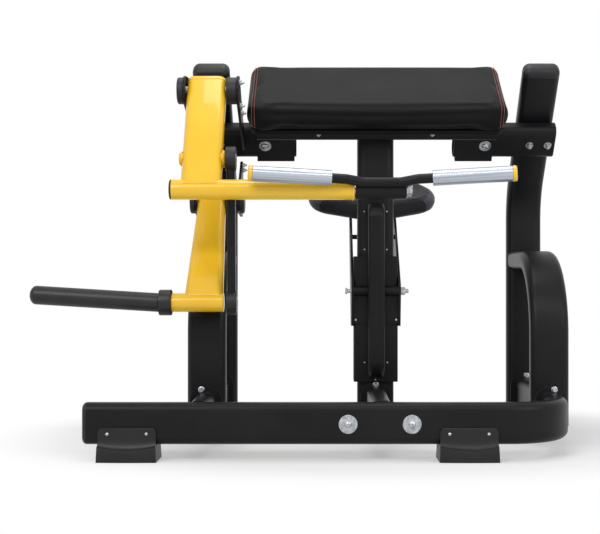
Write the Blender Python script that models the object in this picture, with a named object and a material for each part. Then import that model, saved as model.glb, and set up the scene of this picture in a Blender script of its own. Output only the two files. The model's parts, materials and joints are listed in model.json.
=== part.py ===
"""Plate-loaded seated biceps machine, modelled piece by piece in metres.

X runs across the machine, Y away from its front, Z up.
The origin is on the floor, under the middle of the column that carries the arm pad and the seat.
"""

from math import atan2, cos, pi, radians, sin, sqrt, tan

import bmesh
import bpy
from mathutils import Matrix, Vector

# Running and seating gaps
SEAT_GAP = 0.0003
RUN_GAP = 0.0020

# Steel tube of the frame
TUBE_WIDE = 0.120
TUBE_THIN = 0.060
TUBE_WALL = 0.003
TUBE_ROUND = 0.024
CORNER_STEPS = 3
BEND_STEPS = 6
ROUND_SIDES = 20

# Places across the machine, which follow one another from the pad outwards
PAD_WIDE = 0.838
PAD_TO_PLATE = 0.012
PIVOT_PLATE = 0.008
ELBOW_HOUSING_LONG = 0.033
ARM_WIDE = 0.120
ARM_TO_UPRIGHT_FACE = 0.003
BASE_PAST_ARM = 0.318
RIGHT_PLATE_X = -PAD_WIDE / 2 - PAD_TO_PLATE - PIVOT_PLATE
ARM_X = RIGHT_PLATE_X - ELBOW_HOUSING_LONG - ARM_WIDE / 2
SIDE_X = -ARM_X + ARM_WIDE / 2 + ARM_TO_UPRIGHT_FACE - TUBE_WIDE / 2
BASE_LEFT_X = ARM_X - BASE_PAST_ARM

# Base
FRONT_FACE_Y = -0.530
BASE_MID_Z = 0.1075
BASE_BEND_RADIUS = 0.170
FLANGE_THICK = 0.008
FLANGE_WIDE = 0.100
FLANGE_LOW_Z = 0.046
FLANGE_TOP_Z = 0.180
FLANGE_ROUND = 0.040
FRONT_BOLT_XS = (-0.100, 0.083)
FRONT_WASHER_RADIUS = 0.027
T_PLATE_WIDE = 0.250
T_PLATE_THICK = 0.010
CENTRE_TUBE_TALL = 0.100
CENTRE_TUBE_MID_Z = 0.1175

# Legs that rise from the base and bend back into the uprights
LEG_FACE_Y = -0.234
LEG_FOOT_Z = 0.060
LEG_TOP_Z = 0.610
LEG_BEND_RADIUS = 0.235

# Uprights
UPRIGHT_FACE_Y = 0.253
UPRIGHT_FOOT_Z = 0.0405
UPRIGHT_KNEE_Z = 0.790
UPRIGHT_LEAN = radians(42)
UPRIGHT_BEND_RADIUS = 0.220
UPRIGHT_END_Z = 1.184
CAP_RISE = 0.034
REAR_FOOT_SIZE = (0.150, 0.090, 0.040)

# Feet under the front tube
LEFT_FOOT_INSET = 0.118
RIGHT_FOOT_INSET = 0.289
FRONT_FOOT_XS = (BASE_LEFT_X + LEFT_FOOT_INSET, SIDE_X - RIGHT_FOOT_INSET)
FOOT_WIDE = 0.168
FOOT_DEEP = 0.100
FOOT_LIP_TOP_Z = 0.105
FOOT_LIP_THICK = 0.005

# Column, shroud and brace
COLUMN_TOP_Z = 1.080
COLUMN_FOOT_SIZE = (0.200, 0.150, 0.012)
SHROUD_HALF_X = 0.072
SHROUD_HALF_Y = 0.045
SHROUD_LOW_Z = 0.182
SHROUD_TOP_Z = 0.592
BRACE_WIDE = 0.053
BRACE_THIN = 0.036
BRACE_FACE_Y = -0.118
BRACE_TOP_Z = 0.766
BRACE_LOW_Z = 0.198
BRACE_BEND_RADIUS = 0.034

# Arm pad and what carries it
PAD_SLOPE = radians(35)
PAD_LONG = 0.315
PAD_THICK = 0.083
PAD_ROUND = 0.024
PAD_FRONT_TOP = (-0.211, 1.054)
BOARD_THICK = 0.015
BOARD_INSET = 0.016
RAIL_DEEP = 0.170
RAIL_DROP = 0.040
RAIL_THICK = 0.030
RAIL_INSET = 0.034
RAIL_HALF_X = PAD_WIDE / 2 - RAIL_INSET
BRACKET_WIDE = 0.124
BRACKET_PAST_RAIL = 0.007
BRACKET_XS = (RAIL_HALF_X + BRACKET_PAST_RAIL - BRACKET_WIDE, RAIL_HALF_X + BRACKET_PAST_RAIL)
PAD_BOLT_INSET = 0.021
PAD_BOLT_X = RAIL_HALF_X - PAD_BOLT_INSET
CROSSBAR_MID = (0.040, 0.982)
CROSSBAR_PAST_BRACKET = 0.006
CROSSBAR_IN_UPRIGHT = 0.001
CROSSBAR_INNER_X = BRACKET_XS[0] - CROSSBAR_PAST_BRACKET
CROSSBAR_OUTER_X = SIDE_X + TUBE_WIDE / 2 - CROSSBAR_IN_UPRIGHT
BRACKET_PLATE = 0.004

# Handle arm, which turns about the elbow line
ELBOW = (-0.240, 1.103)
ARM_TILT = radians(30)
ARM_RISE = 0.036
HANDLE_Z = 0.785
HANDLE_TUBE_RADIUS = 0.030
HANDLE_TUBE_PAST_ARM = 0.026
HANDLE_TO_BOSS = 0.0030
BOSS_XS = (-0.0760, 0.0730)
HANDLE_TUBE_XS = (ARM_X - ARM_WIDE / 2 - HANDLE_TUBE_PAST_ARM, BOSS_XS[0] - HANDLE_TO_BOSS)
AXLE_RADIUS = 0.015
PIVOT_PLATE_ROUND = 0.046
HOUSING_RADIUS = 0.0415
LEFT_HOUSING_THICK = 0.019

# Turning handle
SPINDLE_RADIUS = 0.0125
HANDLE_NUT_LONG = 0.016
BOSS_RADIUS = 0.0290
BAR_RADIUS = 0.0145
BAR_TURN = radians(30)
BAR_MID_OFFSET = 0.0385
BAR_GRIP_OFFSET = 0.0600
BAR_END_OFFSET = 0.0850
GRIP_XS = (0.147, 0.388)
GRIP_RADIUS = 0.0228
GRIP_RING_LONG = 0.012

# Weight arm
WEIGHT_PIVOT = (-0.110, 0.770)
HORN_MID = (-0.330, 0.4495)
WEIGHT_ARM_SHIFT = 0.004
WEIGHT_ARM_X = ARM_X + WEIGHT_ARM_SHIFT
WEIGHT_ARM_WIDE = 0.090
WEIGHT_ARM_THIN = 0.050
WEIGHT_ARM_LOW_WIDE = 0.118
WEIGHT_ARM_LOW_SHIFT = -0.005
WEIGHT_ARM_ROUND = 0.018
WEIGHT_TAPER_START = 0.050
CHEEK_SPACER = (0.0, 0.745)
CHEEK_SPACER_RADIUS = 0.012
CHEEK = 0.008
WEIGHT_HOUSING_LONG = 0.037
RIGHT_CHEEK_X = WEIGHT_ARM_X + WEIGHT_ARM_WIDE / 2 + WEIGHT_HOUSING_LONG
WEIGHT_ROOT_ZS = (0.632, 0.706)
RIGHT_CHEEK_TOP = (0.015, 0.885)
WEIGHT_CAP_LONG = 0.014
HORN_TUBE_RADIUS = 0.0285
HORN_TUBE_LEFT_LONG = 0.056
HORN_TUBE_RIGHT_LONG = 0.011
HORN_TUBE_XS = (WEIGHT_ARM_X - WEIGHT_ARM_WIDE / 2 - HORN_TUBE_LEFT_LONG,
                WEIGHT_ARM_X + WEIGHT_ARM_WIDE / 2 + HORN_TUBE_RIGHT_LONG)
COLLAR_RADIUS = 0.039
COLLAR_LONG = 0.038
HORN_SLEEVE_RADIUS = 0.0285
HORN_LONG = 0.428
HORN_TILT = radians(3.5)

# Link between the two arms
LINK_PIN_DROP = 0.223
LINK_PIN_RADIUS = 0.019
LINK_TO_ARM = 0.0245
LINK_X = ARM_X + ARM_WIDE / 2 + LINK_TO_ARM
LINK_THICK = 0.031
LINK_BEARING_RADIUS = 0.037
LINK_BAR_WIDE = 0.040
LINK_BAR_THICK = 0.025

# Seat
SEAT_HALF_WIDE = 0.230
SEAT_LONG = 0.360
SEAT_THICK = 0.050
SEAT_MID = (0.300, 0.775)
SEAT_TILT = radians(20)
PAN_THICK = 0.012
CARRIAGE_PLATE = 0.008
CARRIAGE_LOW_Z = 0.365
CARRIAGE_TOP_Z = 0.500
CROSS_TUBE_Z = 0.479
CROSS_TUBE_RADIUS = 0.0160
UPPER_STRUT = (0.150, 0.660)
LOWER_STRUT = (0.085, 0.470)
STRUT_RADIUS = 0.008
CARRIAGE_REAR_Y = 0.060
SEAT_BOLT_END = 0.025
SEAT_NUT_LONG = 0.015
PAN_REST = (-0.120, 0.060)

BLACK = ((0.018, 0.018, 0.020), 0.45, 0.0)
YELLOW = ((0.90, 0.56, 0.02), 0.30, 0.0)
RUBBER = ((0.020, 0.020, 0.022), 0.75, 0.0)
PLASTIC = ((0.030, 0.031, 0.036), 0.50, 0.0)
VINYL = ((0.022, 0.022, 0.024), 0.60, 0.0)
ZINC = ((0.62, 0.63, 0.65), 0.35, 1.0)
ALLOY = ((0.75, 0.77, 0.80), 0.30, 1.0)
PLYWOOD = ((0.40, 0.28, 0.16), 0.70, 0.0)

X_AXIS = Vector((1, 0, 0))
Y_AXIS = Vector((0, 1, 0))
Z_AXIS = Vector((0, 0, 1))

for old in list(bpy.data.objects):
    bpy.data.objects.remove(old, do_unlink=True)

materials = {}


def finish(name, look):
    """One Principled material for each finish."""
    if name not in materials:
        colour, roughness, metallic = look
        made = bpy.data.materials.new(name)
        made.use_nodes = True
        shader = made.node_tree.nodes["Principled BSDF"]
        shader.inputs["Base Color"].default_value = (*colour, 1.0)
        shader.inputs["Roughness"].default_value = roughness
        shader.inputs["Metallic"].default_value = metallic
        made.diffuse_color = (*colour, 1.0)
        materials[name] = made
    return materials[name]


LOOKS = {
    "black_paint": BLACK, "yellow_paint": YELLOW, "rubber": RUBBER, "plastic": PLASTIC,
    "vinyl": VINYL, "zinc": ZINC, "alloy": ALLOY, "plywood": PLYWOOD,
}


def add(name, bm, look):
    """Turns a bmesh into a named object with sharp edges kept sharp."""
    bmesh.ops.recalc_face_normals(bm, faces=bm.faces)
    mesh = bpy.data.meshes.new(name)
    bm.to_mesh(mesh)
    bm.free()
    mesh.shade_smooth()
    mesh.set_sharp_from_angle(angle=radians(35))
    mesh.materials.append(finish(look, LOOKS[look]))
    made = bpy.data.objects.new(name, mesh)
    bpy.context.scene.collection.objects.link(made)
    return made


def rounded_rectangle(wide, tall, radius, steps=CORNER_STEPS):
    """Counter-clockwise outline, each corner an arc of the given radius."""
    points = []
    for corner in range(4):
        start = corner * pi / 2
        cx = (wide / 2 - radius) * (1 if corner in (0, 3) else -1)
        cy = (tall / 2 - radius) * (1 if corner in (0, 1) else -1)
        for step in range(steps + 1):
            angle = start + step * pi / 2 / steps
            points.append((cx + radius * cos(angle), cy + radius * sin(angle)))
    return points


def circle(radius, sides=ROUND_SIDES):
    return [(radius * cos(2 * pi * i / sides), radius * sin(2 * pi * i / sides)) for i in range(sides)]


def route(points, radius, steps=BEND_STEPS):
    """Polyline whose inner corners are replaced by arcs; gives places and directions."""
    points = [Vector(p) for p in points]
    places = [(points[0], (points[1] - points[0]).normalized())]
    for before, corner, after in zip(points, points[1:], points[2:]):
        a = (corner - before).normalized()
        b = (after - corner).normalized()
        turn = a.angle(b)
        reach = radius * tan(turn / 2)
        start = corner - a * reach
        inward = (b - a * a.dot(b)).normalized()
        centre = start + inward * radius
        for step in range(steps + 1):
            angle = turn * step / steps
            place = centre - inward * radius * cos(angle) + a * radius * sin(angle)
            heading = a * cos(angle) + inward * sin(angle)
            places.append((place, heading))
    places.append((points[-1], (points[-1] - points[-2]).normalized()))
    return places


def sweep(bm, path, side, outline, bore=None):
    """Carries an outline along a flat path; side is the direction of the outline's first axis."""
    def rings(shape):
        made = []
        for place, heading in path:
            up = side.cross(heading)
            made.append([bm.verts.new(place + side * x + up * y) for x, y in shape])
        return made

    def skin(loops, flip):
        count = len(loops[0])
        for low, high in zip(loops, loops[1:]):
            for i in range(count):
                j = (i + 1) % count
                face = (low[i], low[j], high[j], high[i])
                bm.faces.new(reversed(face) if flip else face)

    outer = rings(outline)
    skin(outer, False)
    if bore is None:
        bm.faces.new(reversed(outer[0]))
        bm.faces.new(outer[-1])
        return
    inner = rings(bore)
    skin(inner, True)
    count = len(outline)
    for loop, hole, flip in ((outer[0], inner[0], True), (outer[-1], inner[-1], False)):
        for i in range(count):
            j = (i + 1) % count
            face = (loop[i], loop[j], hole[j], hole[i])
            bm.faces.new(reversed(face) if flip else face)


def flat_tube(name, points, side, wide, tall, look, bend=0.1, wall=TUBE_WALL, rounding=TUBE_ROUND, steps=BEND_STEPS):
    """Hollow flat-sided tube with rounded corners, bent along a route."""
    bm = bmesh.new()
    outline = rounded_rectangle(wide, tall, rounding)
    bore = rounded_rectangle(wide - 2 * wall, tall - 2 * wall, rounding - wall)
    sweep(bm, route(points, bend, steps), Vector(side), outline, bore)
    return add(name, bm, look)


def turned(bm, start, direction, profile, sides=ROUND_SIDES):
    """Turns a closed profile of (radius, distance) about a line; a zero radius is a pole."""
    start = Vector(start)
    direction = Vector(direction).normalized()
    across = direction.orthogonal().normalized()
    other = direction.cross(across)
    loops = []
    for radius, distance in profile:
        centre = start + direction * distance
        if radius == 0:
            loops.append([bm.verts.new(centre)])
            continue
        loop = []
        for i in range(sides):
            angle = 2 * pi * i / sides
            loop.append(bm.verts.new(centre + (across * cos(angle) + other * sin(angle)) * radius))
        loops.append(loop)
    pairs = list(zip(loops, loops[1:]))
    if len(loops[0]) > 1 and len(loops[-1]) > 1:
        pairs.append((loops[-1], loops[0]))
    for low, high in pairs:
        if len(low) == 1 and len(high) == 1:
            continue
        for i in range(sides):
            j = (i + 1) % sides
            if len(low) == 1:
                bm.faces.new((low[0], high[j], high[i]))
            elif len(high) == 1:
                bm.faces.new((low[i], low[j], high[0]))
            else:
                bm.faces.new((low[i], low[j], high[j], high[i]))


def solid_round(radius, start, end, chamfer=0.0):
    """Profile of a plain round bar, with an optional chamfer at both ends."""
    if chamfer == 0:
        return [(0, start), (radius, start), (radius, end), (0, end)]
    return [(0, start), (radius - chamfer, start), (radius, start + chamfer),
            (radius, end - chamfer), (radius - chamfer, end), (0, end)]


def bored_round(radius, bore, start, end):
    return [(bore, start), (radius, start), (radius, end), (bore, end)]


def plate(bm, corners, origin, first, second, thickness):
    """Extrudes a flat outline, given in two directions, by its thickness to both sides of origin."""
    normal = first.cross(second).normalized()
    loops = []
    for offset in (-thickness / 2, thickness / 2):
        base = origin + normal * offset
        loops.append([bm.verts.new(base + first * x + second * y) for x, y in corners])
    bm.faces.new(reversed(loops[0]))
    bm.faces.new(loops[1])
    count = len(corners)
    for i in range(count):
        j = (i + 1) % count
        bm.faces.new((loops[0][i], loops[0][j], loops[1][j], loops[1][i]))


def box(bm, low, high):
    low, high = Vector(low), Vector(high)
    middle = (low + high) / 2
    corners = [(low.x, low.y), (high.x, low.y), (high.x, high.y), (low.x, high.y)]
    plate(bm, corners, Vector((0, 0, middle.z)), X_AXIS, Y_AXIS, high.z - low.z)


def hull_around(discs, steps=10):
    """Outline that wraps two or more discs given as (y, z, radius), counter-clockwise."""
    points = []
    for y, z, radius in discs:
        for i in range(4 * steps):
            angle = 2 * pi * i / (4 * steps)
            points.append((y + radius * cos(angle), z + radius * sin(angle)))
    points = sorted(set(points))

    def half(run):
        chain = []
        for p in run:
            while len(chain) > 1:
                a, b = chain[-2], chain[-1]
                if (b[0] - a[0]) * (p[1] - a[1]) - (b[1] - a[1]) * (p[0] - a[0]) > 1e-12:
                    break
                chain.pop()
            chain.append(p)
        return chain[:-1]

    return half(points) + half(points[::-1])


def side_plate(bm, discs, low_x, high_x):
    """Flat plate standing in the Y-Z plane between two X values."""
    origin = Vector(((low_x + high_x) / 2, 0, 0))
    plate(bm, hull_around(discs), origin, Y_AXIS, Z_AXIS, high_x - low_x)


def combine(target, bm, operation):
    """Joins a hidden solid to the target, or takes it away."""
    bmesh.ops.recalc_face_normals(bm, faces=bm.faces)
    label = target.name + "_" + operation.lower() + str(len(target.modifiers))
    mesh = bpy.data.meshes.new(label)
    bm.to_mesh(mesh)
    bm.free()
    mesh.materials.append(target.data.materials[0])
    helper = bpy.data.objects.new(label, mesh)
    bpy.context.scene.collection.objects.link(helper)
    helper.hide_render = True
    helper.display_type = "WIRE"
    modifier = target.modifiers.new(operation.lower(), "BOOLEAN")
    modifier.operation = operation
    modifier.solver = "EXACT"
    modifier.object = helper


def cut(target, bm):
    combine(target, bm, "DIFFERENCE")


def weld(target, bm):
    combine(target, bm, "UNION")


def button_bolt(name, seat, direction, washer, radius, tall):
    """Low domed head with a round socket, on a washer."""
    profile = [(0, SEAT_GAP), (washer, SEAT_GAP), (washer, 0.0022), (washer - 0.0006, 0.0028), (radius, 0.0028),
               (radius, 0.0028 + tall * 0.35), (radius * 0.72, 0.0028 + tall * 0.85), (radius * 0.45, 0.0028 + tall),
               (radius * 0.42, 0.0028 + tall * 0.45), (0, 0.0028 + tall * 0.45)]
    bm = bmesh.new()
    turned(bm, seat, direction, profile, 16)
    return add(name, bm, "zinc")


def end_plug(name, place, heading, side, wide, tall, rise):
    """Domed plastic plug with a tongue inside the tube."""
    bm = bmesh.new()
    heading = Vector(heading).normalized()
    side = Vector(side)
    steps = 5
    path = [(Vector(place) + heading * SEAT_GAP, heading)]
    scales = [1.0]
    for step in range(1, steps + 1):
        angle = step * pi / 2 / steps
        path.append((Vector(place) + heading * (rise * sin(angle)), heading))
        scales.append(cos(angle))
    up = side.cross(heading)
    inner_rounding = TUBE_ROUND - TUBE_WALL - SEAT_GAP
    tongue = rounded_rectangle(wide - 2 * (TUBE_WALL + SEAT_GAP), tall - 2 * (TUBE_WALL + SEAT_GAP), inner_rounding)
    rings = []
    for back in (0.020, -SEAT_GAP):
        rings.append([bm.verts.new(Vector(place) - heading * back + side * x + up * y) for x, y in tongue])
    for (spot, _), scale in zip(path, scales):
        shrink = rise * (1 - scale)
        if shrink > rise * 0.9:
            shrink = rise * 0.9
        shape = rounded_rectangle(wide - 2 * shrink, tall - 2 * min(shrink, tall / 2 - 0.006),
                                  max(0.004, TUBE_ROUND - shrink))
        rings.append([bm.verts.new(spot + side * x + up * y) for x, y in shape])
    count = len(rings[0])
    for low, high in zip(rings, rings[1:]):
        for i in range(count):
            j = (i + 1) % count
            bm.faces.new((low[i], low[j], high[j], high[i]))
    bm.faces.new(reversed(rings[0]))
    bm.faces.new(rings[-1])
    return add(name, bm, "plastic")


BASE_LOW_Z = BASE_MID_Z - TUBE_WIDE / 2
FRONT_MID_Y = FRONT_FACE_Y + TUBE_THIN / 2
FRONT_BACK_Y = FRONT_FACE_Y + TUBE_THIN
LEG_BACK_Y = LEG_FACE_Y + TUBE_THIN
SIDES = (("left", -1), ("right", 1))


def add_flange(tube, x, front):
    """Welds an oval bolting plate to the end of a base tube."""
    outline = rounded_rectangle(FLANGE_WIDE, FLANGE_TOP_Z - FLANGE_LOW_Z, FLANGE_ROUND, 6)
    middle = Vector((x, front + FLANGE_THICK / 2, (FLANGE_TOP_Z + FLANGE_LOW_Z) / 2))
    bm = bmesh.new()
    plate(bm, outline, middle, X_AXIS, Z_AXIS, FLANGE_THICK)
    weld(tube, bm)


def make_base():
    """Front tube, short side tubes with their welded flanges, and the tube that reaches the column."""
    bite = FLANGE_THICK / 2
    flange_front = LEG_FACE_Y - SEAT_GAP - FLANGE_THICK
    path = [(BASE_LEFT_X, FRONT_MID_Y, BASE_MID_Z), (SIDE_X, FRONT_MID_Y, BASE_MID_Z),
            (SIDE_X, flange_front + bite, BASE_MID_Z)]
    tube = flat_tube("front_base_tube", path, Z_AXIS, TUBE_WIDE, TUBE_THIN, "black_paint", BASE_BEND_RADIUS)
    add_flange(tube, SIDE_X, flange_front)
    end_plug("front_tube_plug", (BASE_LEFT_X, FRONT_MID_Y, BASE_MID_Z), (-1, 0, 0), Z_AXIS,
             TUBE_WIDE, TUBE_THIN, 0.014)
    tube = flat_tube("left_base_tube", [(-SIDE_X, FRONT_BACK_Y + SEAT_GAP, BASE_MID_Z),
                                        (-SIDE_X, flange_front + bite, BASE_MID_Z)],
                     Z_AXIS, TUBE_WIDE, TUBE_THIN, "black_paint")
    add_flange(tube, -SIDE_X, flange_front)
    rear_flange_front = UPRIGHT_FACE_Y - SEAT_GAP - FLANGE_THICK
    for name, sign in SIDES:
        x = sign * SIDE_X
        tube = flat_tube(name + "_side_tube", [(x, LEG_BACK_Y + SEAT_GAP, BASE_MID_Z),
                                               (x, rear_flange_front + bite, BASE_MID_Z)],
                         Z_AXIS, TUBE_WIDE, TUBE_THIN, "black_paint")
        add_flange(tube, x, rear_flange_front)

    plate_low_y = FRONT_BACK_Y + SEAT_GAP
    mid_x = sum(FRONT_BOLT_XS) / 2
    bm = bmesh.new()
    outline = rounded_rectangle(T_PLATE_WIDE, CENTRE_TUBE_TALL, 0.012, 3)
    plate(bm, outline, Vector((mid_x, plate_low_y + T_PLATE_THICK / 2, BASE_MID_Z)), X_AXIS, Z_AXIS, T_PLATE_THICK)
    centre = add("centre_base_tube", bm, "black_paint")
    column_flange_y = -TUBE_THIN / 2 - SEAT_GAP - FLANGE_THICK
    start = Vector((0, plate_low_y + T_PLATE_THICK / 2, CENTRE_TUBE_MID_Z))
    end = Vector((0, column_flange_y + bite, CENTRE_TUBE_MID_Z))
    bm = bmesh.new()
    sweep(bm, [(start, Y_AXIS), (end, Y_AXIS)], Z_AXIS, rounded_rectangle(CENTRE_TUBE_TALL - 0.002, TUBE_THIN, 0.020))
    weld(centre, bm)
    add_flange(centre, 0, column_flange_y)
    bm = bmesh.new()
    inside = rounded_rectangle(CENTRE_TUBE_TALL - 0.008, TUBE_THIN - 2 * TUBE_WALL, 0.017)
    sweep(bm, [(start - Y_AXIS * 0.02, Y_AXIS), (end - Y_AXIS * 0.008, Y_AXIS)], Z_AXIS, inside)
    cut(centre, bm)
    for name, x in zip(("left", "right"), FRONT_BOLT_XS):
        button_bolt(name + "_front_bolt", (x, FRONT_FACE_Y, BASE_MID_Z), -Y_AXIS, FRONT_WASHER_RADIUS, 0.012, 0.007)


def make_feet():
    """Moulded feet: a block under the front tube and a lip screwed to its face."""
    for name, x in zip(("left", "right"), FRONT_FOOT_XS):
        bm = bmesh.new()
        low_y = FRONT_FACE_Y - FOOT_LIP_THICK - SEAT_GAP
        high_y = low_y + FOOT_DEEP
        face = FRONT_FACE_Y - SEAT_GAP
        block_top = BASE_LOW_Z - SEAT_GAP
        outline = [(low_y - 0.004, 0.0), (high_y, 0.0), (high_y, block_top), (face, block_top),
                   (face, FOOT_LIP_TOP_Z), (low_y, FOOT_LIP_TOP_Z), (low_y, block_top + 0.004),
                   (low_y - 0.006, block_top - 0.004)]
        plate(bm, outline, Vector((x, 0, 0)), Y_AXIS, Z_AXIS, FOOT_WIDE)
        add(name + "_front_foot", bm, "rubber")
    wide, deep, tall = REAR_FOOT_SIZE
    for name, sign in SIDES:
        bm = bmesh.new()
        middle = Vector((sign * SIDE_X, UPRIGHT_FACE_Y + TUBE_THIN / 2, tall / 2))
        plate(bm, rounded_rectangle(wide, deep, 0.012, 3), middle, X_AXIS, Y_AXIS, tall)
        add(name + "_rear_foot", bm, "rubber")


def make_side_frames():
    """Legs that bend back into the uprights, and uprights that lean forward at the top."""
    leg_mid_y = LEG_FACE_Y + TUBE_THIN / 2
    leg_top_mid = LEG_TOP_Z - TUBE_THIN / 2
    lean = Vector((0, -sin(UPRIGHT_LEAN), cos(UPRIGHT_LEAN)))
    mid_y = UPRIGHT_FACE_Y + TUBE_THIN / 2
    knee_z = UPRIGHT_KNEE_Z + TUBE_THIN / 2 * tan(UPRIGHT_LEAN / 2)
    reach = (UPRIGHT_END_Z - knee_z) / cos(UPRIGHT_LEAN)
    for name, sign in SIDES:
        x = sign * SIDE_X
        flat_tube(name + "_leg", [(x, leg_mid_y, LEG_FOOT_Z), (x, leg_mid_y, leg_top_mid),
                                  (x, UPRIGHT_FACE_Y - SEAT_GAP, leg_top_mid)],
                  X_AXIS, TUBE_WIDE, TUBE_THIN, "black_paint", LEG_BEND_RADIUS)
        knee = Vector((x, mid_y, knee_z))
        end = knee + lean * reach
        flat_tube(name + "_upright", [(x, mid_y, UPRIGHT_FOOT_Z), knee, end],
                  X_AXIS, TUBE_WIDE, TUBE_THIN, "black_paint", UPRIGHT_BEND_RADIUS)
        end_plug(name + "_upright_cap", end, lean, X_AXIS, TUBE_WIDE, TUBE_THIN, CAP_RISE)


def lean_frame():
    """Directions of the leaning uprights: along them, and out of their front face."""
    along = Vector((0, -sin(UPRIGHT_LEAN), cos(UPRIGHT_LEAN)))
    outward = Vector((0, -cos(UPRIGHT_LEAN), -sin(UPRIGHT_LEAN)))
    return along, outward


def make_crossbars():
    """Flat tubes bolted across the front of the leaning uprights."""
    along, outward = lean_frame()
    mid = Vector((0, *CROSSBAR_MID))
    knee = Vector((0, UPRIGHT_FACE_Y, UPRIGHT_KNEE_Z))
    mid += outward * (TUBE_THIN / 2 + SEAT_GAP - (mid - knee).dot(outward))
    for name, sign in SIDES:
        start = mid + X_AXIS * sign * CROSSBAR_INNER_X
        end = mid + X_AXIS * sign * CROSSBAR_OUTER_X
        bm = bmesh.new()
        outline = rounded_rectangle(TUBE_WIDE, TUBE_THIN, TUBE_ROUND)
        bore = rounded_rectangle(TUBE_WIDE - 2 * TUBE_WALL, TUBE_THIN - 2 * TUBE_WALL, TUBE_ROUND - TUBE_WALL)
        heading = X_AXIS * sign
        sweep(bm, [(start, heading), (end, heading)], along, outline, bore)
        add(name + "_crossbar", bm, "black_paint")
    return mid


def pad_frame():
    """Directions of the pad: out of its top, and down its slope towards the front."""
    normal = Vector((0, -sin(PAD_SLOPE), cos(PAD_SLOPE)))
    down = Vector((0, -cos(PAD_SLOPE), -sin(PAD_SLOPE)))
    return normal, down


def cushion(name, wide, long, thick, rounding, crown, origin, down, normal):
    """Stuffed pad: crowned top, sides drawn in at the seam, flat underside."""
    bm = bmesh.new()
    layers = (
        (0.00, 0.008), (0.08, 0.002), (0.30, 0.000), (0.72, 0.000), (0.90, 0.003), (0.97, 0.008), (1.00, 0.016),
    )
    rings = []
    for share, inset in layers:
        outline = rounded_rectangle(wide - 2 * inset, long - 2 * inset, max(rounding - inset, 0.004), 5)
        rings.append([bm.verts.new(origin + X_AXIS * x + down * y + normal * (thick * share)) for x, y in outline])
    inner = (0.035, 0.080, 0.130)
    for inset, rise in zip(inner, (0.45, 0.80, 1.0)):
        outline = rounded_rectangle(wide - 2 * inset, long - 2 * inset, max(rounding - 0.02, 0.006), 5)
        height = thick + crown * rise
        rings.append([bm.verts.new(origin + X_AXIS * x + down * y + normal * height) for x, y in outline])
    count = len(rings[0])
    for low, high in zip(rings, rings[1:]):
        for i in range(count):
            j = (i + 1) % count
            bm.faces.new((low[i], low[j], high[j], high[i]))
    bm.faces.new(reversed(rings[0]))
    bm.faces.new(rings[-1])
    return add(name, bm, "vinyl")


def make_pad(crossbar_mid):
    """Arm pad on its board, the rail beneath it and the brackets that wrap the crossbars."""
    normal, down = pad_frame()
    front_top = Vector((0, *PAD_FRONT_TOP))
    top_mid = front_top - down * PAD_LONG / 2
    crown = 0.006
    base = top_mid - normal * (PAD_THICK + crown)
    cushion("arm_pad", PAD_WIDE, PAD_LONG, PAD_THICK, PAD_ROUND, crown, base, down, normal)
    bm = bmesh.new()
    board_mid = base - normal * (SEAT_GAP + BOARD_THICK / 2)
    outline = rounded_rectangle(PAD_WIDE - 2 * BOARD_INSET, PAD_LONG - 2 * BOARD_INSET, PAD_ROUND, 4)
    plate(bm, outline, board_mid, X_AXIS, down, BOARD_THICK)
    add("arm_pad_board", bm, "plywood")

    board_low = board_mid - normal * (BOARD_THICK / 2 + SEAT_GAP)
    rail_mid = board_low - normal * RAIL_THICK / 2 + down * RAIL_DROP
    bm = bmesh.new()
    outline = rounded_rectangle(RAIL_DEEP, RAIL_THICK, 0.008, 3)
    bore = rounded_rectangle(RAIL_DEEP - 2 * TUBE_WALL, RAIL_THICK - 2 * TUBE_WALL, 0.005, 3)
    path = [(rail_mid - X_AXIS * RAIL_HALF_X, X_AXIS), (rail_mid + X_AXIS * RAIL_HALF_X, X_AXIS)]
    sweep(bm, path, -down, outline, bore)
    carrier = add("pad_carrier", bm, "black_paint")

    along, outward = lean_frame()
    low_x, high_x = BRACKET_XS
    low = -TUBE_WIDE / 2 - SEAT_GAP
    near = TUBE_THIN / 2 + SEAT_GAP
    far = near + BRACKET_PLATE
    rail_low = rail_mid - normal * RAIL_THICK / 2
    leaf = crossbar_mid + outward * (near + far) / 2
    reach = (rail_low - leaf).dot(normal) / along.dot(normal) + TUBE_WALL / 2
    for name, sign in SIDES:
        corners = [(-far, low - BRACKET_PLATE), (far, low - BRACKET_PLATE), (far, reach),
                   (near, reach), (near, low), (-near, low), (-near, 0), (-far, 0)]
        mid = crossbar_mid + X_AXIS * sign * (low_x + high_x) / 2
        bm = bmesh.new()
        plate(bm, corners, mid, outward, along, high_x - low_x)
        weld(carrier, bm)
        seat = crossbar_mid + outward * far + X_AXIS * sign * PAD_BOLT_X
        button_bolt(name + "_pad_bolt", seat, outward, 0.020, 0.011, 0.007)
    return rail_mid


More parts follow.
